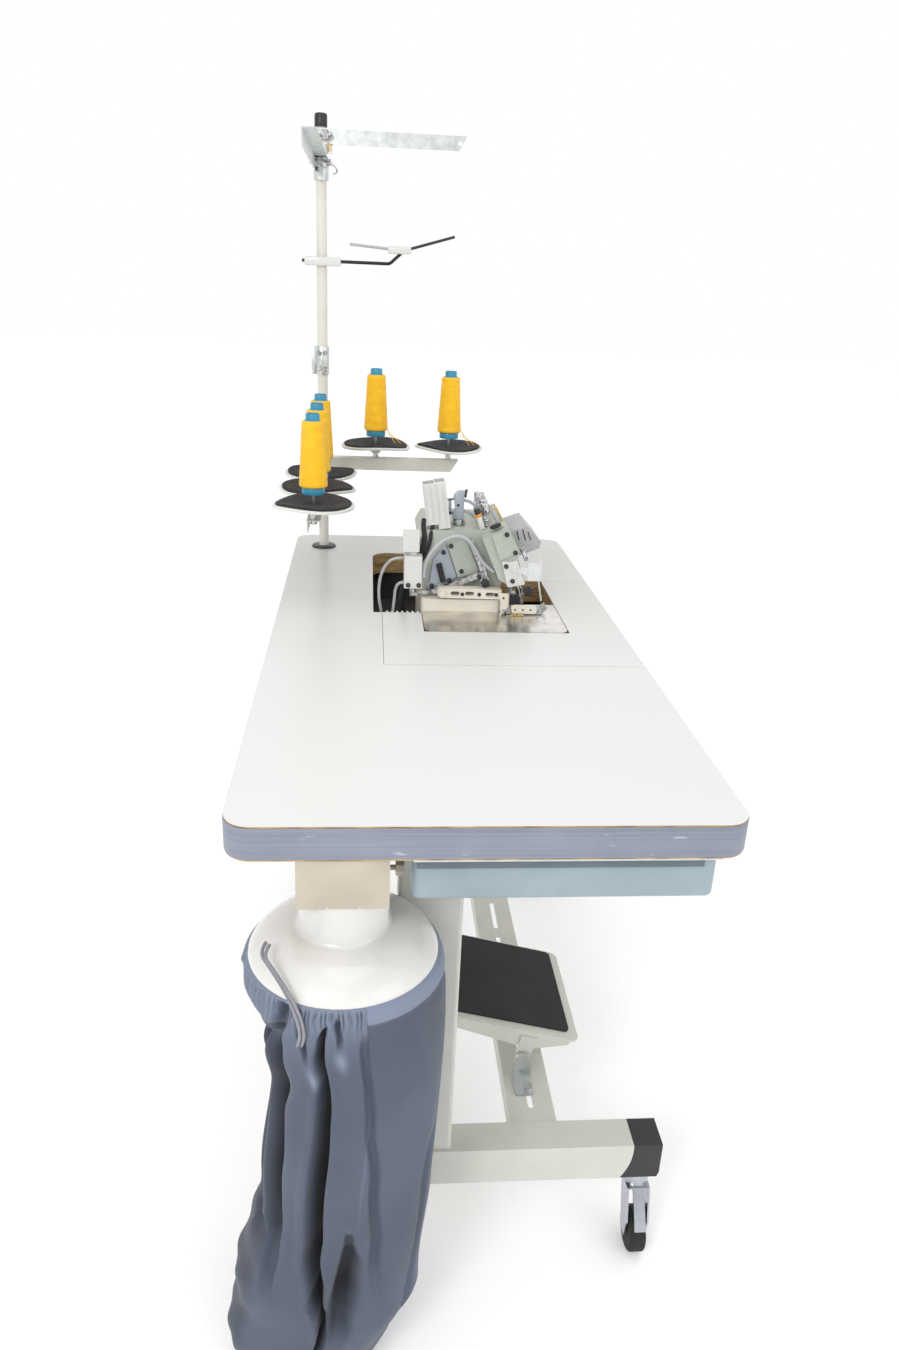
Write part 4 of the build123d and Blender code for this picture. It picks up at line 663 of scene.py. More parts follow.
def drawn_in(angle, height):
    """How far the cloth is drawn in, and the part of that which is a deep fold, in metres; the second sets
    the painted shade in the folds.
    """
    drop = bag_rings[0][0] - height
    depth = 0.0006
    painted_shade = 0.0
    for rows in deep_folds.values():
        middle, half, deep = fold_at(rows, height)
        away = turned_from(angle, middle) / half
        valley = math.exp(-abs(away) ** 4.5)
        crest = math.exp(-((abs(away) - 1.9) / 0.8) ** 2)
        depth += deep * (valley - 0.06 * crest)
        # the valley of a deep fold gets painted shade
        painted_shade = max(painted_shade, deep * math.exp(-abs(away) ** 6))
    for middle, half, deep, start, end in back_folds:
        sway = 4 * math.sin(9 * height + middle) + 1.5 * math.sin(25 * height + middle)
        away = turned_from(angle, middle + sway) / half
        grow = smooth_step((start - height) / 0.085) * smooth_step((height - end) / 0.06)
        depth += grow * deep * math.exp(-abs(away) ** 2.6)
    # a pinch across the cloth just under the drawstring, only round the bunched back corner
    pinch = math.exp(-((height - 0.532) / 0.026) ** 2)
    pinch *= smooth_step(turned_from(angle, 36) / 26) * smooth_step((150 - math.degrees(angle)) / 40)
    depth += 0.03 * pinch
    # small gathers under the elastic, from the front corner round to the back
    gathered = smooth_step((angle + 0.3) / 0.12) * smooth_step((1.75 - angle) / 0.4)
    fine = math.exp(-(drop / 0.03) ** 2) * gathered * smooth_step((drop - 0.0042) / 0.006)
    crowd = angle + 0.014 * math.sin(angle * 37) + 0.007 * math.sin(height * 260 + 9 * angle)
    gather = 1 - abs(math.cos(crowd * 56)) ** 0.5
    depth += 0.0062 * fine * gather + 0.0016 * fine * math.sin(crowd * 23)
    # where the cloth lies over the rim the crests between gathers stand out
    on_rim = gathered * math.exp(-((drop - 0.004) / 0.0035) ** 2)
    depth -= 0.0016 * on_rim * (1 - gather)
    # painted shade between the small gathers under the elastic
    painted_shade = max(painted_shade, 0.014 * max(fine, 0.8 * on_rim) * gather ** 1.5)
    # the smooth side only sways, and the foot of the back corner is crumpled
    slack = (1 - gathered) * smooth_step(drop / 0.1)
    depth += 0.0014 * slack * math.sin(5 * angle + height * 11.0)
    depth += 0.0008 * slack * math.sin(9 * angle - height * 26.0)
    crumple = smooth_step((angle - 0.75) / 0.3) * smooth_step((0.3 - height) / 0.08)
    depth += 0.0026 * crumple * math.sin(height * 85 + 6 * angle) * math.sin(angle * 8)
    if drop < hem_depth and gathered < 0.5:
        depth -= 0.0026 * smooth_step(drop / 0.004)
    return depth, painted_shade


# painted highlights: angle, height, half width in degrees, half height, how light
painted_highlight_spots = ((20, 0.506, 3.6, 0.014, 0.55), (1, 0.537, 3.0, 0.012, 0.5), (-8, 0.4, 1.0, 0.09, 0.16))
gathered_edge = -0.24


def painted_light_at(angle, height):
    """Painted light on the cloth: the lighter hem, the lighter gathers and a few painted highlight spots."""
    drop = bag_rings[0][0] - height
    light = 0.0
    # painted light: the hem and the gathers at the top of the bag are painted lighter, and the spots are
    # painted highlights
    if drop < hem_depth + 0.001 and angle < gathered_edge:
        light = 0.55
    if angle >= gathered_edge:
        light = 0.45 * math.exp(-(drop / 0.045) ** 2)
    for middle, spot, wide, tall, amount in painted_highlight_spots:
        light += amount * math.exp(-(turned_from(angle, middle) / wide) ** 2 - ((height - spot) / tall) ** 2)
    return min(1.0, light)


# %% [markdown]
# The bag's drawstring is a flat double cord.  It comes out of the gathers, lies over the funnel's
# side and goes back into the bag.  Two thin hoses side by side, a little apart, read as that cord.

# %% Drawstring over the funnel
string_grey = grained("grey_drawstring", (0.16, 0.16, 0.18), (0.3, 0.3, 0.33), 0.6, 1500, 0.0002)
string_line = mm(
    (-560, 224, 644), (-574, 230, 642), (-588, 218, 634), (-606, 202, 620), (-618, 190, 598),
    (-621, 185, 575), (-617, 188, 557), (-603, 191.5, 542), (-585, 190, 530),
)
strings = []
for apart in (0.0, 0.0042):
    cord_line = [(x - apart * (step < 4), y - apart, z) for step, (x, y, z) in enumerate(string_line)]
    strings.append(hose(f"bag_string_{round(apart * 10000)}", cord_line, 0.0019))
string = complete(join("bag_drawstring", strings), string_grey, 60)

# %% Bag cloth
across, along = 480, 94
clear_selection()
bpy.ops.mesh.primitive_grid_add(x_subdivisions=across, y_subdivisions=along, size=1)
bag = bpy.context.object
top_height, bottom_height = bag_rings[0][0], bag_rings[-1][0]
closed_from = 0.95  # share of the cloth's length where the bottom starts to draw in
weave_size = (0.68, 0.66)  # metres round and down that the weave is laid out for
painted_shade_marks, painted_light_marks = [], []


def side_shade(angle, height):
    """Painted shade on the bunched back corner: darker from the side hollow round to the back."""
    return 0.42 * smooth_step((math.degrees(angle) - 50) / 16) * smooth_step((0.55 - height) / 0.05)


for vertex in bag.data.vertices:
    turned = (vertex.co.x + 0.5) * 2 * math.pi - math.pi
    angle = turned - 0.5 * math.sin(turned - 0.5) - 0.5 * math.sin(0.5)
    share = 0.5 - vertex.co.y
    height = top_height + (bottom_height - top_height) * min(1.0, (share / closed_from) ** 1.12)
    closing = max(0.0, (share - closed_from) / (1 - closed_from))
    cx, cy, rx, ry = ring_at(height)
    depth, painted_shade = drawn_in(angle, height)
    depth *= 1 - closing
    # painted shade: the deep folds and the bunched back corner are painted near black
    painted_shade_marks.append(min(0.96, (painted_shade / 0.032) ** 1.3 + side_shade(angle, height)))
    painted_light_marks.append(painted_light_at(angle, height))
    reach_x, reach_y = ((radius - depth) * (1 - 0.995 * closing) for radius in (rx, ry))
    vertex.co = (cx - reach_x * math.cos(angle), cy + reach_y * math.sin(angle), height - 0.002 * closing)
for layer, marks in (("painted_shade", painted_shade_marks), ("painted_light", painted_light_marks)):
    bag.data.attributes.new(layer, "FLOAT", "POINT").data.foreach_set("value", marks)
for corner in bag.data.uv_layers[0].data:
    corner.uv = (corner.uv[0] * weave_size[0], corner.uv[1] * weave_size[1])
take("waste_bag_cloth")
edit_all()
bpy.ops.mesh.remove_doubles(threshold=0.00002)
bpy.ops.mesh.normals_make_consistent(inside=False)
bpy.ops.object.mode_set(mode="OBJECT")
apply_modifier(bag, "SOLIDIFY", thickness=0.0012, offset=-1)
complete(bag, bag_cloth, 75)
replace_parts(bag, "waste_bag")

# %% [markdown]
# ## The edge band
# A table edge like this wears a plastic band pressed into a groove, a little lower than the board.
# A plane with rounded corners gives the outline; it is pulled up into a wall, cut where the lift-out
# panel begins, and thickened.  The panel carries its own length of band, so it lifts out with it.

# %% Edge band finish
def worn_band(name):
    """Blue grey plastic with faint lines along it, pale scuffs and small chips."""
    finish, shader, place = new_finish(name, (0.19, 0.21, 0.27), 0.42)
    base = blend_colors(patches(place, 10.0, 5.0), (0.165, 0.18, 0.235), (0.215, 0.235, 0.3))
    lines = noise(place, 120.0, 2.0, (0.02, 0.02, 3.0))
    ridged = blend_colors(contrast(lines, 0.35, 0.65, 0.0, 0.35), base, (0.3, 0.32, 0.38))
    scuffs = contrast(noise(place, 42.0, 6.0, (0.5, 0.5, 2.5)), 0.66, 0.74, 0.0, 0.8)
    feed(shader, Base_Color=blend_colors(scuffs, ridged, (0.55, 0.56, 0.6)))
    add_bump(shader, lines, 0.0002)
    return finish


band_plastic = worn_band("edge_band_plastic")

# %% Edge bands
table_low, table_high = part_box("table_top")
panel_low, panel_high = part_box("table_insert")
band_inset = 0.0018
corner_radius = 0.03


def edge_wall(name):
    """The wall round the table, with cuts where the lift-out panel begins and ends."""
    clear_selection()
    middle, size = (table_low + table_high) / 2, table_high - table_low
    bpy.ops.mesh.primitive_plane_add(size=1, location=(middle.x, middle.y, table_low.z + band_inset))
    bpy.context.object.scale = (size.x, size.y, 1)
    wall = take(name)
    edit_all()
    bpy.ops.mesh.bevel(offset=corner_radius, segments=9, affect="VERTICES")
    bpy.ops.mesh.delete(type="ONLY_FACE")
    bpy.ops.mesh.select_all(action="SELECT")
    bpy.ops.mesh.extrude_edges_move(TRANSFORM_OT_translate={"value": (0, 0, size.z - 2 * band_inset)})
    for cut in (panel_low[0], panel_high[0]):
        bpy.ops.mesh.select_all(action="SELECT")
        bpy.ops.mesh.bisect(plane_co=(cut, 0, 0), plane_no=(1, 0, 0))
    return wall


for name, of_panel, body in (("edge_band_table", False, STAND), ("edge_band_panel", True, "lift_out_panel")):
    wall = edge_wall(name)
    mesh = bmesh.from_edit_mesh(wall.data)
    for face in mesh.faces:
        spot = face.calc_center_median()
        on_panel = panel_low[0] < spot.x < panel_high[0] and spot.y < 0
        face.select = on_panel != of_panel
    bmesh.update_edit_mesh(wall.data)
    bpy.ops.mesh.delete(type="FACE")
    bpy.ops.mesh.select_all(action="SELECT")
    bpy.ops.mesh.normals_make_consistent(inside=False)
    bpy.ops.object.mode_set(mode="OBJECT")
    apply_modifier(wall, "SOLIDIFY", thickness=0.0016, offset=0.1)
    sharp = math.radians(60)
    apply_modifier(wall, "BEVEL", width=0.0006, segments=2, limit_method="ANGLE", angle_limit=sharp)
    complete(wall, band_plastic, body=body)
    print(name, "spans", [round(side, 3) for side in wall.dimensions], "m")

# %% [markdown]
# ## Thread on its cones
# Thread is wound at a slant, first one way and then the other, so a cone shows two sets of crossing
# lines.  The winding is turned from its outline and gets a UV map of turn and height; two slanted
# waves on that map make the crossing thread.

# %% Thread finish
def wound_thread(name):
    """Golden yellow thread: two crossing sets of fine slanted lines."""
    finish, shader, place = new_finish(name, (0.86, 0.47, 0.015), 0.55)
    winding_map = split_axes(add_node("ShaderNodeUVMap", place).outputs["UV"])
    sets = []
    for slant in (-70.0, 70.0):
        turn_part = math_node("MULTIPLY", winding_map["X"], slant)
        height_part = math_node("MULTIPLY", winding_map["Y"], 9000.0)
        sets.append(contrast(math_node("SINE", math_node("ADD", turn_part, height_part)), -1.0, 1.0))
    crossing = weigh(sets[0], 0.5, sets[1])
    shade = weigh(crossing, 0.6, patches(place, 55.0, 4.0, (1, 1, 2)))
    yellow = blend_colors(shade, (0.84, 0.39, 0.0), (0.98, 0.62, 0.004))
    feed(shader, Base_Color=yellow, Sheen_Weight=0.08)
    add_bump(shader, crossing, 0.0003, 0.8)
    return finish


def turn_map(piece, centre):
    """A UV map of turns round the centre and height in metres."""
    layers = piece.data.uv_layers
    layer = layers[0] if layers else layers.new(name="turn_and_height")
    for face in piece.data.polygons:
        angles = []
        for corner in face.loop_indices:
            spot = piece.data.vertices[piece.data.loops[corner].vertex_index].co
            angle = math.atan2(spot.y - centre[1], spot.x - centre[0])
            if angles and abs(angle - angles[0]) > math.pi:
                angle -= math.copysign(2 * math.pi, angle - angles[0])
            angles.append(angle)
            layer.data[corner].uv = (angle, spot.z - centre[2])


thread_wound = wound_thread("wound_thread_yellow")

# %% Cones
winding_outline = mm((15.2, 11.8), (21.2, 11.5), (22.6, 12.8), (23, 15))
for step in range(1, 26):
    taper = 0.023 - 0.0055 * step / 25
    uneven = 0.00022 * math.sin(step * 2.4) + 0.00012 * math.sin(step * 5.1)
    winding_outline.append((taper + uneven, 0.015 + 0.0975 * step / 25))
winding_outline += mm((16.8, 114.2), (15.2, 115), (12.6, 115), (15.2, 11.8))
core_outline = mm(
    (16, 0), (18.1, 0), (18.5, 0.8), (18.5, 10.2), (18, 11), (15.5, 11.2), (12.6, 116), (12.2, 116.5),
    (11.2, 116.8), (11, 125), (10.6, 125.9), (9.6, 126), (9.3, 125), (9.3, 66), (16, 2), (16, 0),
)
cone_feet = {}
for number in range(1, 6):
    low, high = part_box(f"thread_cone_{number}")
    foot = Vector(((low.x + high.x) / 2, (low.y + high.y) / 2, low.z))
    cone_feet[number] = foot
    core = lathe(f"cone_core_{number}", core_outline, foot, 48)
    complete(core, core_blue, 40, f"cone_{number}")
    winding = lathe(f"thread_winding_{number}", winding_outline, foot, 64)
    turn_map(winding, foot)
    complete(winding, thread_wound, 60, f"cone_{number}")
    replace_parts(winding, f"thread_cone_{number}")
print("five cones,", round(winding_outline[3][0] * 2000), "mm thick at the foot")

# %% [markdown]
# ## Spool discs and their foam pads
# Each cone stands over a thin white plastic disc with a black foam pad.  Thin discs warp and old foam
# curls at its rim, so each copy gets its own slow wave round the edge.

# %% Foam finish
foam_black = grained("black_foam", (0.01, 0.01, 0.012), (0.045, 0.042, 0.042), 0.92, 420, 0.0006, 0, 60)
disc_white = grained("disc_white_plastic", (0.6, 0.6, 0.57), (0.7, 0.7, 0.68), 0.35)

# %% Discs, pads and pins
disc_outline = mm(
    (2.2, 21.6), (20, 21.7), (65, 26.2), (66.6, 25.6), (67, 24), (66, 21.6), (64, 21), (20, 18), (9.2, 12),
    (9, 10), (2.2, 10), (2.2, 21.6),
)
pad_outline = mm(
    (2.7, 22), (20, 22.1), (42, 24), (60, 26.2), (61.4, 26.8), (61.7, 27.9), (61, 29.4), (58, 30),
    (42, 28.3), (20, 26.2), (2.7, 26.2), (2.7, 22),
)
pin_outline = mm(
    (0.1, 14), (2.5, 14), (2.5, 70), (8.4, 70.4), (9, 71.2), (7.8, 101), (7.2, 102), (2.5, 102.2),
    (2.5, 141), (2, 142.8), (0.1, 143.5),
)


def wave_rim(piece, centre, seed, height):
    """Bend a thin disc: nothing within flat_radius, most at the rim."""
    flat_radius = 0.022
    for vertex in piece.data.vertices:
        away = vertex.co - centre
        reach = max(0.0, math.hypot(away.x, away.y) / flat_radius - 1) / 2
        angle = math.atan2(away.y, away.x)
        swing = math.sin(2 * angle + seed) + 0.5 * math.sin(3 * angle + 2.3 * seed)
        vertex.co.z += height * reach * reach * swing


for number, foot in cone_feet.items():
    rack = foot - Vector((0, 0, 0.042))
    disc = lathe(f"spool_disc_{number}", disc_outline, rack, 96)
    wave_rim(disc, rack, 1.7 * number, 0.0022)
    complete(disc, disc_white, 40)
    pad = lathe(f"foam_pad_{number}", pad_outline, rack, 96)
    wave_rim(pad, rack, 1.7 * number, 0.003)
    complete(pad, foam_black, 50)
    pin = lathe(f"spool_pin_{number}", pin_outline, rack, 24)
    complete(pin, tool_steel)
    nut = rod(f"spool_nut_{number}", rack + Vector((0, 0, -0.0085)), rack + Vector((0, 0, 0.01)), 0.0055, 6)
    complete(nut, zinc, 20)
    if number == 1:
        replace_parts(disc, "spool_holders")
print("five discs,", round(2000 * max(radius for radius, height in disc_outline)), "mm across")

# %% [markdown]
# ## The top of the thread stand
# Each steel guide arm is held by a split clamp with a cross screw, and a wire hook and a small brass
# spring sit in front of the pole.  Wire parts are smooth lines through a few given points.

# %% Pole trim
pole_low, pole_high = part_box("pole_tubes")
pole = Vector(((pole_low.x + pole_high.x) / 2, (pole_low.y + pole_high.y) / 2, 0))


def at_pole(x, y, height):
    """A spot x and y from the pole's middle and at a height over the floor, in millimetres."""
    return pole + Vector((x, y, height)) / 1000


clamps = []
for height in (1476, 1519):
    middle = height + 7.5
    clamps += [
        block(f"clamp_jaw_{height}", at_pole(-27.5, -14, height), at_pole(-10.5, 14, height + 15), 0.0012),
        rod(f"clamp_screw_{height}", at_pole(-20, -20, middle), at_pole(-20, 20, middle), 0.0024),
        rod(f"clamp_nut_{height}", at_pole(-20, -19, middle), at_pole(-20, -14.5, middle), 0.0052, 6),
    ]
complete(join("pole_clamps", clamps), chrome)
hook_line = [
    (-26, -6, 1484), (-36, -10, 1484), (-44, -18, 1480), (-44, -28, 1474), (-38, -30, 1466), (-34, -22, 1464),
]
hook = hose("guide_hook", [at_pole(*spot) for spot in hook_line], 0.0013)
complete(hook, chrome, 60)
coil = []
for step in range(40):
    angle = step * math.pi / 3
    coil.append(at_pole(-31 + 4.2 * math.cos(angle), -16 + 4.2 * math.sin(angle), 1499 + 0.35 * step))
complete(hose("guide_spring", coil, 0.0006, 2), brass, 60)

base = lathe("pole_base_washer", mm(
    (10, 0), (23.8, 0), (24, 1.2), (23.2, 3), (21.5, 4), (10, 4), (10, 0),
), Vector((pole.x, pole.y, table_high.z)), 48)
complete(base, black_plastic)
nut_top = pole + Vector((0, 0, table_low.z - 0.0004))
lock_nut = rod("pole_lock_nut", nut_top - Vector((0, 0, 0.0114)), nut_top, 0.02, 6, 0.0012)
complete(lock_nut, zinc, 20)
cap = lathe("pole_cap", mm(
    (9.7, -8), (11, -8), (11.2, -7.2), (11.2, 10), (10, 13), (7, 14), (0.1, 14), (0.1, 0.4), (9.7, 0.4),
    (9.7, -8),
), Vector((pole.x, pole.y, pole_high.z)), 32)
complete(cap, black_plastic)
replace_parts(cap, "pole_fittings")
sleeve_tube = lathe("sleeve_tube", mm(
    (9.7, 0), (12, 0), (12.5, 1), (12.5, 50), (12, 51), (9.7, 51), (9.7, 0),
), Vector((pole.x, pole.y, 1.125)), 32)
sleeve_ear = block("sleeve_ear", at_pole(-4.5, 11, 1125.5), at_pole(4.5, 20.5, 1175.5), 0.001)
complete(join("pole_sleeve", [sleeve_tube, sleeve_ear]), zinc)
sleeve_bolts = [
    rod(f"sleeve_bolt_{height}_{side}", at_pole(-13.5, side, height), at_pole(-18.5, side, height), 0.0046, 6)
    for height in (1136, 1165) for side in (-6, 6)
]
complete(join("sleeve_bolts", sleeve_bolts), chrome, 20)

# %% [markdown]
# ## The thread rest half-way up the pole
# Three materials meet here: a white clamp and block, a black rod bent at its knee and two more rods,
# and clear tips for the threads.  One CAD node can't show three finishes, so it is remade in parts.

# %% Thread rest
rest_x = pole.x - 0.015


def at_rest(x, y, height):
    """A spot x from the thread rest's rod, y over the table and a height over the rod, in millimetres."""
    return Vector((rest_x + x / 1000, y / 1000, 1.324 + height / 1000))


clamp_low, clamp_high = at_pole(-21, -35, 1316), at_pole(13, 31, 1331)
rest_clamp = block("rest_clamp", clamp_low, clamp_high, 0.003)
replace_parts(complete(rest_clamp, white_enamel), "mid_guide")
knee = [at_rest(0, y, height) for y, height in ((243, 0), (170, 0), (98, 0), (84, 0), (78, 6), (62, 20))]
complete(hose("rest_rod", knee, 0.003), black_screw, 60)
complete(block("rest_block", at_rest(-8, 46, 17), at_rest(8, 88, 30), 0.003), white_enamel)
complete(rod("rest_rod_grey", at_rest(-3, 74, 24), at_rest(-3, 157, 30), 0.0025), hose_grey)
dark_rod = rod("rest_rod_dark", at_rest(3, 56, 24), at_rest(3, -33, 50), 0.0025)
complete(dark_rod, black_plastic)
tips = [block(f"rest_tip_{y}", at_rest(-4, y - 0.8, 29), at_rest(4, y + 0.8, 49), 0.0005) for y in (70, 80)]
complete(join("rest_eyelet", tips), guard_plastic)

# %% [markdown]
# ## Trim on the sewing head
# The head carries small pieces of many finishes: plates, levers, knobs and hoses.  Most are flat
# plates that stand across the table, so one helper draws an outline of width and height, in
# millimetres, pushes it along the table and rounds its rims.

# %% Plates and knobs
def plate(name, outline, front, back, round_edge=0.5):
    """A plate between two distances along the table; outline and distances in millimetres."""
    clear_selection()
    bpy.ops.mesh.primitive_circle_add(vertices=len(outline), radius=0.01, fill_type="NGON")
    piece = bpy.context.object
    for vertex, (side, height) in zip(piece.data.vertices, outline):
        vertex.co = (front / 1000, side / 1000, height / 1000)
    edit_all()
    bpy.ops.mesh.extrude_region_move(TRANSFORM_OT_translate={"value": ((back - front) / 1000, 0, 0)})
    bpy.ops.mesh.select_all(action="SELECT")
    bpy.ops.mesh.normals_make_consistent(inside=False)
    bpy.ops.mesh.bevel(offset=round_edge / 1000, segments=2, affect="EDGES")
    return take(name)


def star(name, centre, radius, front, back, lobes=7):
    """A knob with rounded lobes that faces the end of the table."""
    outline = []
    for step in range(lobes * 6):
        angle = 2 * math.pi * step / (lobes * 6)
        reach = radius * (0.89 + 0.11 * math.cos(lobes * angle))
        outline.append((centre[0] + reach * math.cos(angle), centre[1] + reach * math.sin(angle)))
    return plate(name, outline, front, back, 0.8)


def stud(name, along, side, height, radius, length, steps=24):
    """A round head or pin that points to the end of the table, in millimetres."""
    start = (along / 1000, side / 1000, height / 1000)
    return rod(name, start, ((along + length) / 1000, side / 1000, height / 1000), radius / 1000, steps)


lever_grey = grained("blue_grey_lever_paint", (0.3, 0.33, 0.38), (0.42, 0.46, 0.52), 0.34, metal=0.35)
cap_orange = grained("orange_ring_plastic", (0.7, 0.22, 0.02), (0.8, 0.3, 0.03), 0.4)

# %% [markdown]
# The steel side plate carries a rubber block, which stops the air lifter.  Its three cap screws
# come from the frame.

# %% Side plate
side_plate = plate("side_plate", [(19, 818), (12, 870), (-7, 899), (-29, 842), (-13, 827)], 152.3, 155.9, 0.8)
complete(side_plate, lever_grey, 20)
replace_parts(side_plate, "head_fittings")
stop_block = plate("side_rubber_block", [(7, 863), (-2, 866), (-10.5, 835), (-1.5, 832)], 146.2, 152.2, 1.2)
complete(stop_block, black_rubber, 20)

# %% [markdown]
# Behind the cable duct stands the thread lever: a bent bracket on a turned collar, with a window
# frame on its left and two curved arms on its right that guide the threads.

# %% Thread lever
lever_parts = [
    plate("lever_bracket", [
        (-22.6, 921), (-20.6, 938), (-25, 948), (-22, 969), (-28, 977), (-42.5, 977.5), (-39.4, 967),
        (-40.4, 938), (-42.5, 921),
    ], 197, 201, 0.7),
    plate("window_top", [(-5, 961), (-24, 964), (-24, 960), (-5, 957)], 202, 206),
    plate("window_foot", [(-5, 939.5), (-24, 941), (-24, 935.5), (-5, 935)], 202, 206),
    plate("window_side", [(-4, 961), (-8, 961), (-8, 935), (-4, 935)], 202, 206),
    plate("window_bar", [(-14, 962), (-19, 962), (-20, 936), (-15, 936)], 202, 206),
    plate("upper_arm", [
        (-39, 963), (-52, 960), (-61, 954), (-67, 948), (-65, 944), (-57, 950), (-50, 955), (-39, 958),
    ], 202, 206),
    plate("lower_arm", [(-39, 945), (-50, 942), (-59, 934), (-57, 930), (-48, 937), (-39, 940)], 202, 206),
]
complete(join("thread_lever", lever_parts), lever_grey, 25)
collar = lathe("lever_collar", mm(
    (0.1, 0), (10, 0), (11.2, 1), (11.2, 6.2), (9.8, 7.2), (9.8, 9), (8.5, 10), (0.1, 10),
), Vector((0.2, -0.032, 0.9192)), 40)
complete(collar, chrome, 40)
# painted shade: a thin black disc on the bracket stands for the dark inside of its hole
hole = stud("lever_hole", 196.2, -30.2, 952.6, 2.2, 1.2)
tip = plate("lever_tip", [(-41.5, 979), (-45, 979), (-43, 965), (-40, 966)], 196, 202)
complete(join("lever_dark_marks", [hole, tip]), black_screw, 30)

# %% [markdown]
# Each thread passes a tension post: two discs, a spring and a knurled nut on a stud.  One post is
# turned, its nut is cut into flutes, and it is copied along the arm.

# %% Tension posts
post_outline = mm(
    (0.1, 0), (6, 0), (6.2, 2.5), (3.4, 3.2), (3.4, 8.5), (8.8, 9), (9, 9.8), (5, 10.5), (9, 11.2),
    (8.8, 12), (4, 12.6), (4.6, 15), (3.8, 16.5), (4.6, 18), (3.8, 19.5), (4.6, 21), (8, 21.8), (8.6, 22.8),
    (8.6, 37), (8, 38), (0.1, 38),
)
for number, along in enumerate((190, 225, 255, 285), 1):
    foot = Vector((along / 1000, -0.074, 0.9192))
    post = lathe(f"tension_post_{number}", post_outline, foot, 48)
    for vertex in post.data.vertices:
        if 0.0225 < vertex.co.z - foot.z < 0.0372:
            away = vertex.co - foot
            angle = math.atan2(away.y, away.x)
            flute = 1 - 0.035 * (1 + math.cos(24 * angle)) / 2
            vertex.co.x, vertex.co.y = foot.x + away.x * flute, foot.y + away.y * flute
    complete(post, chrome, 40)
lean_foot, lean_top = Vector((0.17, -0.07, 0.9195)), Vector((0.17, -0.058, 0.953))
for name, low_share, high_share, radius, finish, slot in (
    ("regulator_body", 0.0, 0.62, 0.0048, white_enamel, "holder_white"),
    ("regulator_ring", 0.6, 0.76, 0.0054, cap_orange, "thread_yellow"),
    ("regulator_cap", 0.74, 1.0, 0.005, black_plastic, "black_plastic"),
):
    spot = [lean_foot.lerp(lean_top, share) for share in (low_share, high_share)]
    complete(rod(name, spot[0], spot[1], radius, 24, 0.0014), finish, 40)

# %% [markdown]
# A brass strip spring and a grey guide tube lean together behind the nose, over a dark oil cap.

# %% Strip, tube and oil cap
strip_outline = [(-86, 952), (-95, 952.5), (-109, 922), (-106, 920.5), (-93, 948.5), (-86, 949)]
complete(plate("brass_strip", strip_outline, 188, 192, 0.3), brass, 20)
guide_tube = rod("grey_guide_tube", (0.189, -0.0865, 0.948), (0.189, -0.099, 0.925), 0.003, 20)
complete(guide_tube, hose_grey)
oil_cap = rod("oil_cap", (0.14, -0.088, 0.93), (0.14, -0.0866, 0.9336), 0.0095, 32, 0.001)
complete(oil_cap, black_rubber, 40)

# %% [markdown]
# Knobs and studs: a star knob under the nose, one on the lifter, and small bright posts.

# %% Knobs and posts
nose_parts = [star("nose_star", (-147, 826), 9.2, 126, 133), stud("nose_stem", 132, -147, 826, 3.6, 7)]
complete(join("nose_star_knob", nose_parts), black_plastic, 35)
lifter_knob = join("lifter_star_knob", [
    star("lifter_star", (-74.6, 838), 8, 127.5, 132), stud("lifter_pivot_cap", 131.5, -3, 823, 5, 3),
    stud("lifter_end_cap", 133.5, -64.5, 847, 3.6, 4),
])
complete(lifter_knob, black_plastic, 35, "lifter")
bright_post = rod("nose_bright_post", (0.129, -0.1325, 0.8965), (0.129, -0.141, 0.8785), 0.0036, 20)
post_cap = rod("nose_post_cap", (0.129, -0.1316, 0.899), (0.129, -0.1338, 0.894), 0.0048, 20)
complete(join("nose_post", [bright_post, post_cap]), chrome, 40)

# %% [markdown]
# The presser foot shows a cream side plate with three small screws, and a cream clamp above it.
# Both ride on the presser, because they lift with the foot.

# %% Presser trim
side_outline = [(-117, 805.5), (-123, 807.5), (-157, 807), (-161, 800), (-159, 792.5), (-119, 792.5)]
side = plate("foot_side", side_outline, 110.2, 111.7, 0.4)
clamp_outline = [(-95.5, 826.5), (-112, 824.5), (-112.5, 802), (-108, 797.5), (-101.5, 798)]
clamp = plate("foot_clamp", clamp_outline, 113.0, 115.8, 0.8)
complete(join("presser_side_plates", [side, clamp]), beige_casting, 20, "presser")
foot_marks = [stud(f"foot_screw_{spot}", 109.4, -spot, 799, 1.5, 1.0) for spot in (124, 137, 150)]
foot_marks += [stud(f"arm_screw_{spot}", 116.2, -spot, 822, 3.0, 2.2) for spot in (36, 64, 92)]
foot_marks.append(stud("clamp_screw", 112.2, -104, 818, 1.8, 1.0))
foot_marks.append(block("foot_holder", (0.1135, -0.132, 0.8085), (0.126, -0.115, 0.82), 0.001))
complete(join("presser_dark_marks", foot_marks), black_screw, 30, "presser")
guides = []
for spot in (121, 133):
    low, high = mm((104, -spot - 5, 790.3), (109, -spot + 5, 792.5))
    guides.append(block(f"brass_guide_{spot}", low, high, 0.0005))
complete(join("plate_brass_guides", guides), brass, 20)

# %% [markdown]
# The thread tension panel has slots where the threads run in, drawn as thin black plates that are painted
# shade for their dark openings, and the cable duct has raised ribs and two sharp ears at its open top.

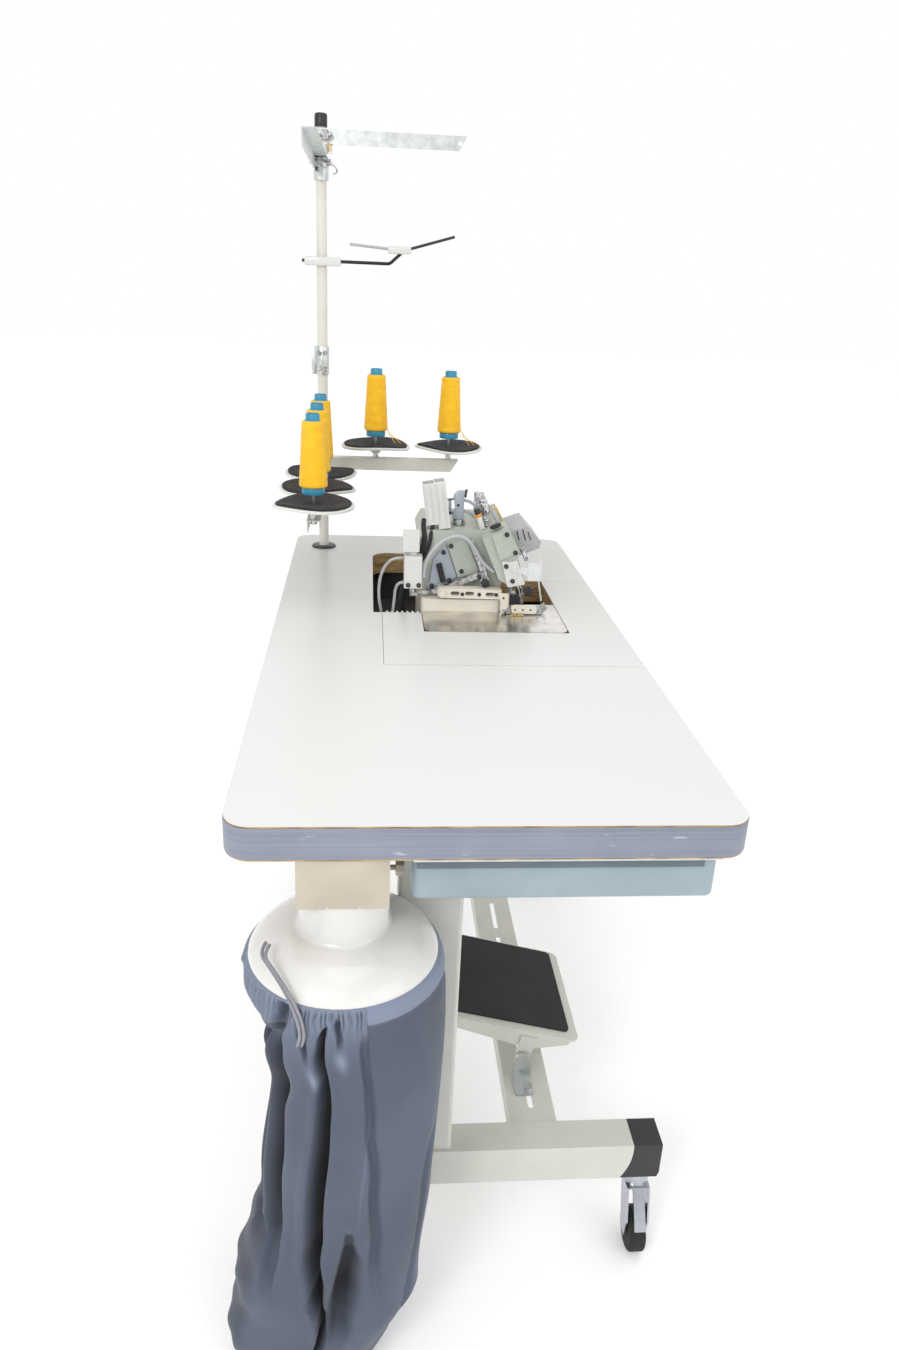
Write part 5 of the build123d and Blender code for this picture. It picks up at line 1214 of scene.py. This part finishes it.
# %% Panel slots and duct ribs
# painted shade: thin black plates stand for the dark openings of the slots
slots = []
for top, high, foot, low in ((-133, 909, -138, 893), (-143, 912, -149, 893), (-152, 908, -158, 894)):
    outline = [(top + 1, high), (top - 1, high), (foot - 1, low), (foot + 1, low)]
    slots.append(plate(f"slot_{-top}", outline, 204.5, 205.4, 0.2))
complete(join("panel_slots", slots), black_plastic, 20)
ribs = []
for side, low, high in ((12.0, 931, 990), (21.8, 931, 990), (-9.5, 924, 994), (1.2, 924, 994)):
    tilted = side + (high - low) * math.sin(math.radians(8.5))
    outline = [(side, low), (side - 1.4, low), (tilted - 1.4, high), (tilted, high)]
    ribs.append(plate(f"rib_{round(side * 10)}", outline, 160.6, 162.1, 0.3))
complete(join("duct_ribs", ribs), duct_plastic, 20)

# %% [markdown]
# Hoses and cables follow smooth lines through the same points as the frame's tubes: two
# clear air tubes, a grey hose over the arm, and a dark cable bundle from the duct into the pan.

# %% Hoses
air_tubes = join("air_tubes", [
    hose("upper_air_tube", mm(
        (141, 60.3, 876), (141, 75, 876), (141, 89, 866), (141, 97, 850), (141, 101, 830), (141, 101, 808),
        (141, 97, 784), (142, 92, 760), (144, 88, 734), (145, 87, 692.4),
    ), 0.0025),
    hose("lower_air_tube", mm(
        (134, 60.3, 836), (134, 68, 836), (134, 74, 826), (134, 75, 812), (133, 77, 790), (132, 80, 765),
        (131, 83, 735), (130, 84, 692.4),
    ), 0.0025),
])
complete(air_tubes, tube_plastic, 60)
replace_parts(air_tubes, "hoses_and_cables")
over_arm = hose("grey_arm_hose", mm(
    (132, 27.7, 846), (132, 27.6, 857), (132, 25, 870), (132, 19, 884), (132, 8, 900), (132, -8, 912),
    (132, -25, 917), (132, -41, 912), (132, -53, 898), (132, -62, 882), (132, -73, 867), (132, -88, 857),
), 0.003)
complete(over_arm, hose_grey, 60)
bundle = join("dark_cable_bundle", [
    hose("cable_left", mm(
        (168, 28, 934), (160, 30, 926), (152, 27, 912), (150, 28, 892), (152, 38, 872), (158, 52, 850),
        (162, 62, 815), (164, 66, 770), (164, 68, 700),
    ), 0.004),
    hose("cable_right", mm(
        (168, 12, 928), (160, 16, 920), (151, 17, 905), (150, 21, 888), (153, 32, 866), (160, 46, 846),
        (168, 56, 815), (171, 60, 770), (171, 62, 700),
    ), 0.0032),
])
complete(bundle, black_rubber, 60)

# %% [markdown]
# A white spiral wrap bundles the leads that cross the cut-out's near edge.  It is one strip wound as
# a helix round a dark core.

# %% Spiral wrap
wrap_turns = []
for step in range(57):
    angle = 2 * math.pi * step / 8
    wrap_turns.append((122.5 + 5.2 * math.cos(angle), 89 - 1.05 * step, 784 + 5.2 * math.sin(angle)))
wrap = hose("spiral_wrap", mm(*wrap_turns), 0.0015, 2)
complete(wrap, white_enamel, 60)
core = hose("wrapped_leads", mm(
    (122.5, 102, 700), (122.5, 101.5, 750), (122.5, 99, 778), (122.5, 88, 784), (122.5, 60, 783.8),
    (122.5, 38, 783.8), (127, 32, 779), (133, 31.5, 760), (134, 32, 710),
), 0.0034)
complete(core, black_rubber, 60)

# %% [markdown]
# A few loose threads run from the nearer cones of the long rack arm over the foam pads.  They ride
# with their cones.

# %% Loose threads
for number in (1, 2):
    strands = []
    for side, start, reach in ((-11, 70, 38), (-16, 34, 48), (-20, 10, 58)):
        hang = mm((-18, side, start), (-26, side * 1.3, start * 0.45))
        curl = mm((-30, -reach * 0.85, -3), (-32, -reach, -8.5))
        line = [cone_feet[number] + Vector(spot) for spot in hang + curl]
        strands.append(hose(f"loose_thread_{number}_{start}", line, 0.0005, 2))
    complete(join(f"loose_threads_{number}", strands), thread_wound, 60, f"cone_{number}")

# %% [markdown]
# The drawer's face has a dark seam under the table, where its hood begins.

# %% Drawer seam
drawer_low, drawer_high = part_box("drawer")
seam_low = (drawer_low.x - 0.0008, drawer_low.y + 0.04, drawer_high.z - 0.015)
seam_high = (drawer_low.x + 0.001, drawer_high.y - 0.004, drawer_high.z - 0.001)
seam = block("drawer_seam", seam_low, seam_high, 0.0004)
seam_blue = grained("drawer_seam_plastic", (0.09, 0.12, 0.145), (0.13, 0.165, 0.19), 0.45)
complete(seam, seam_blue, 20, "drawer_tray")

# %% Finish
bpy.context.view_layer.update()
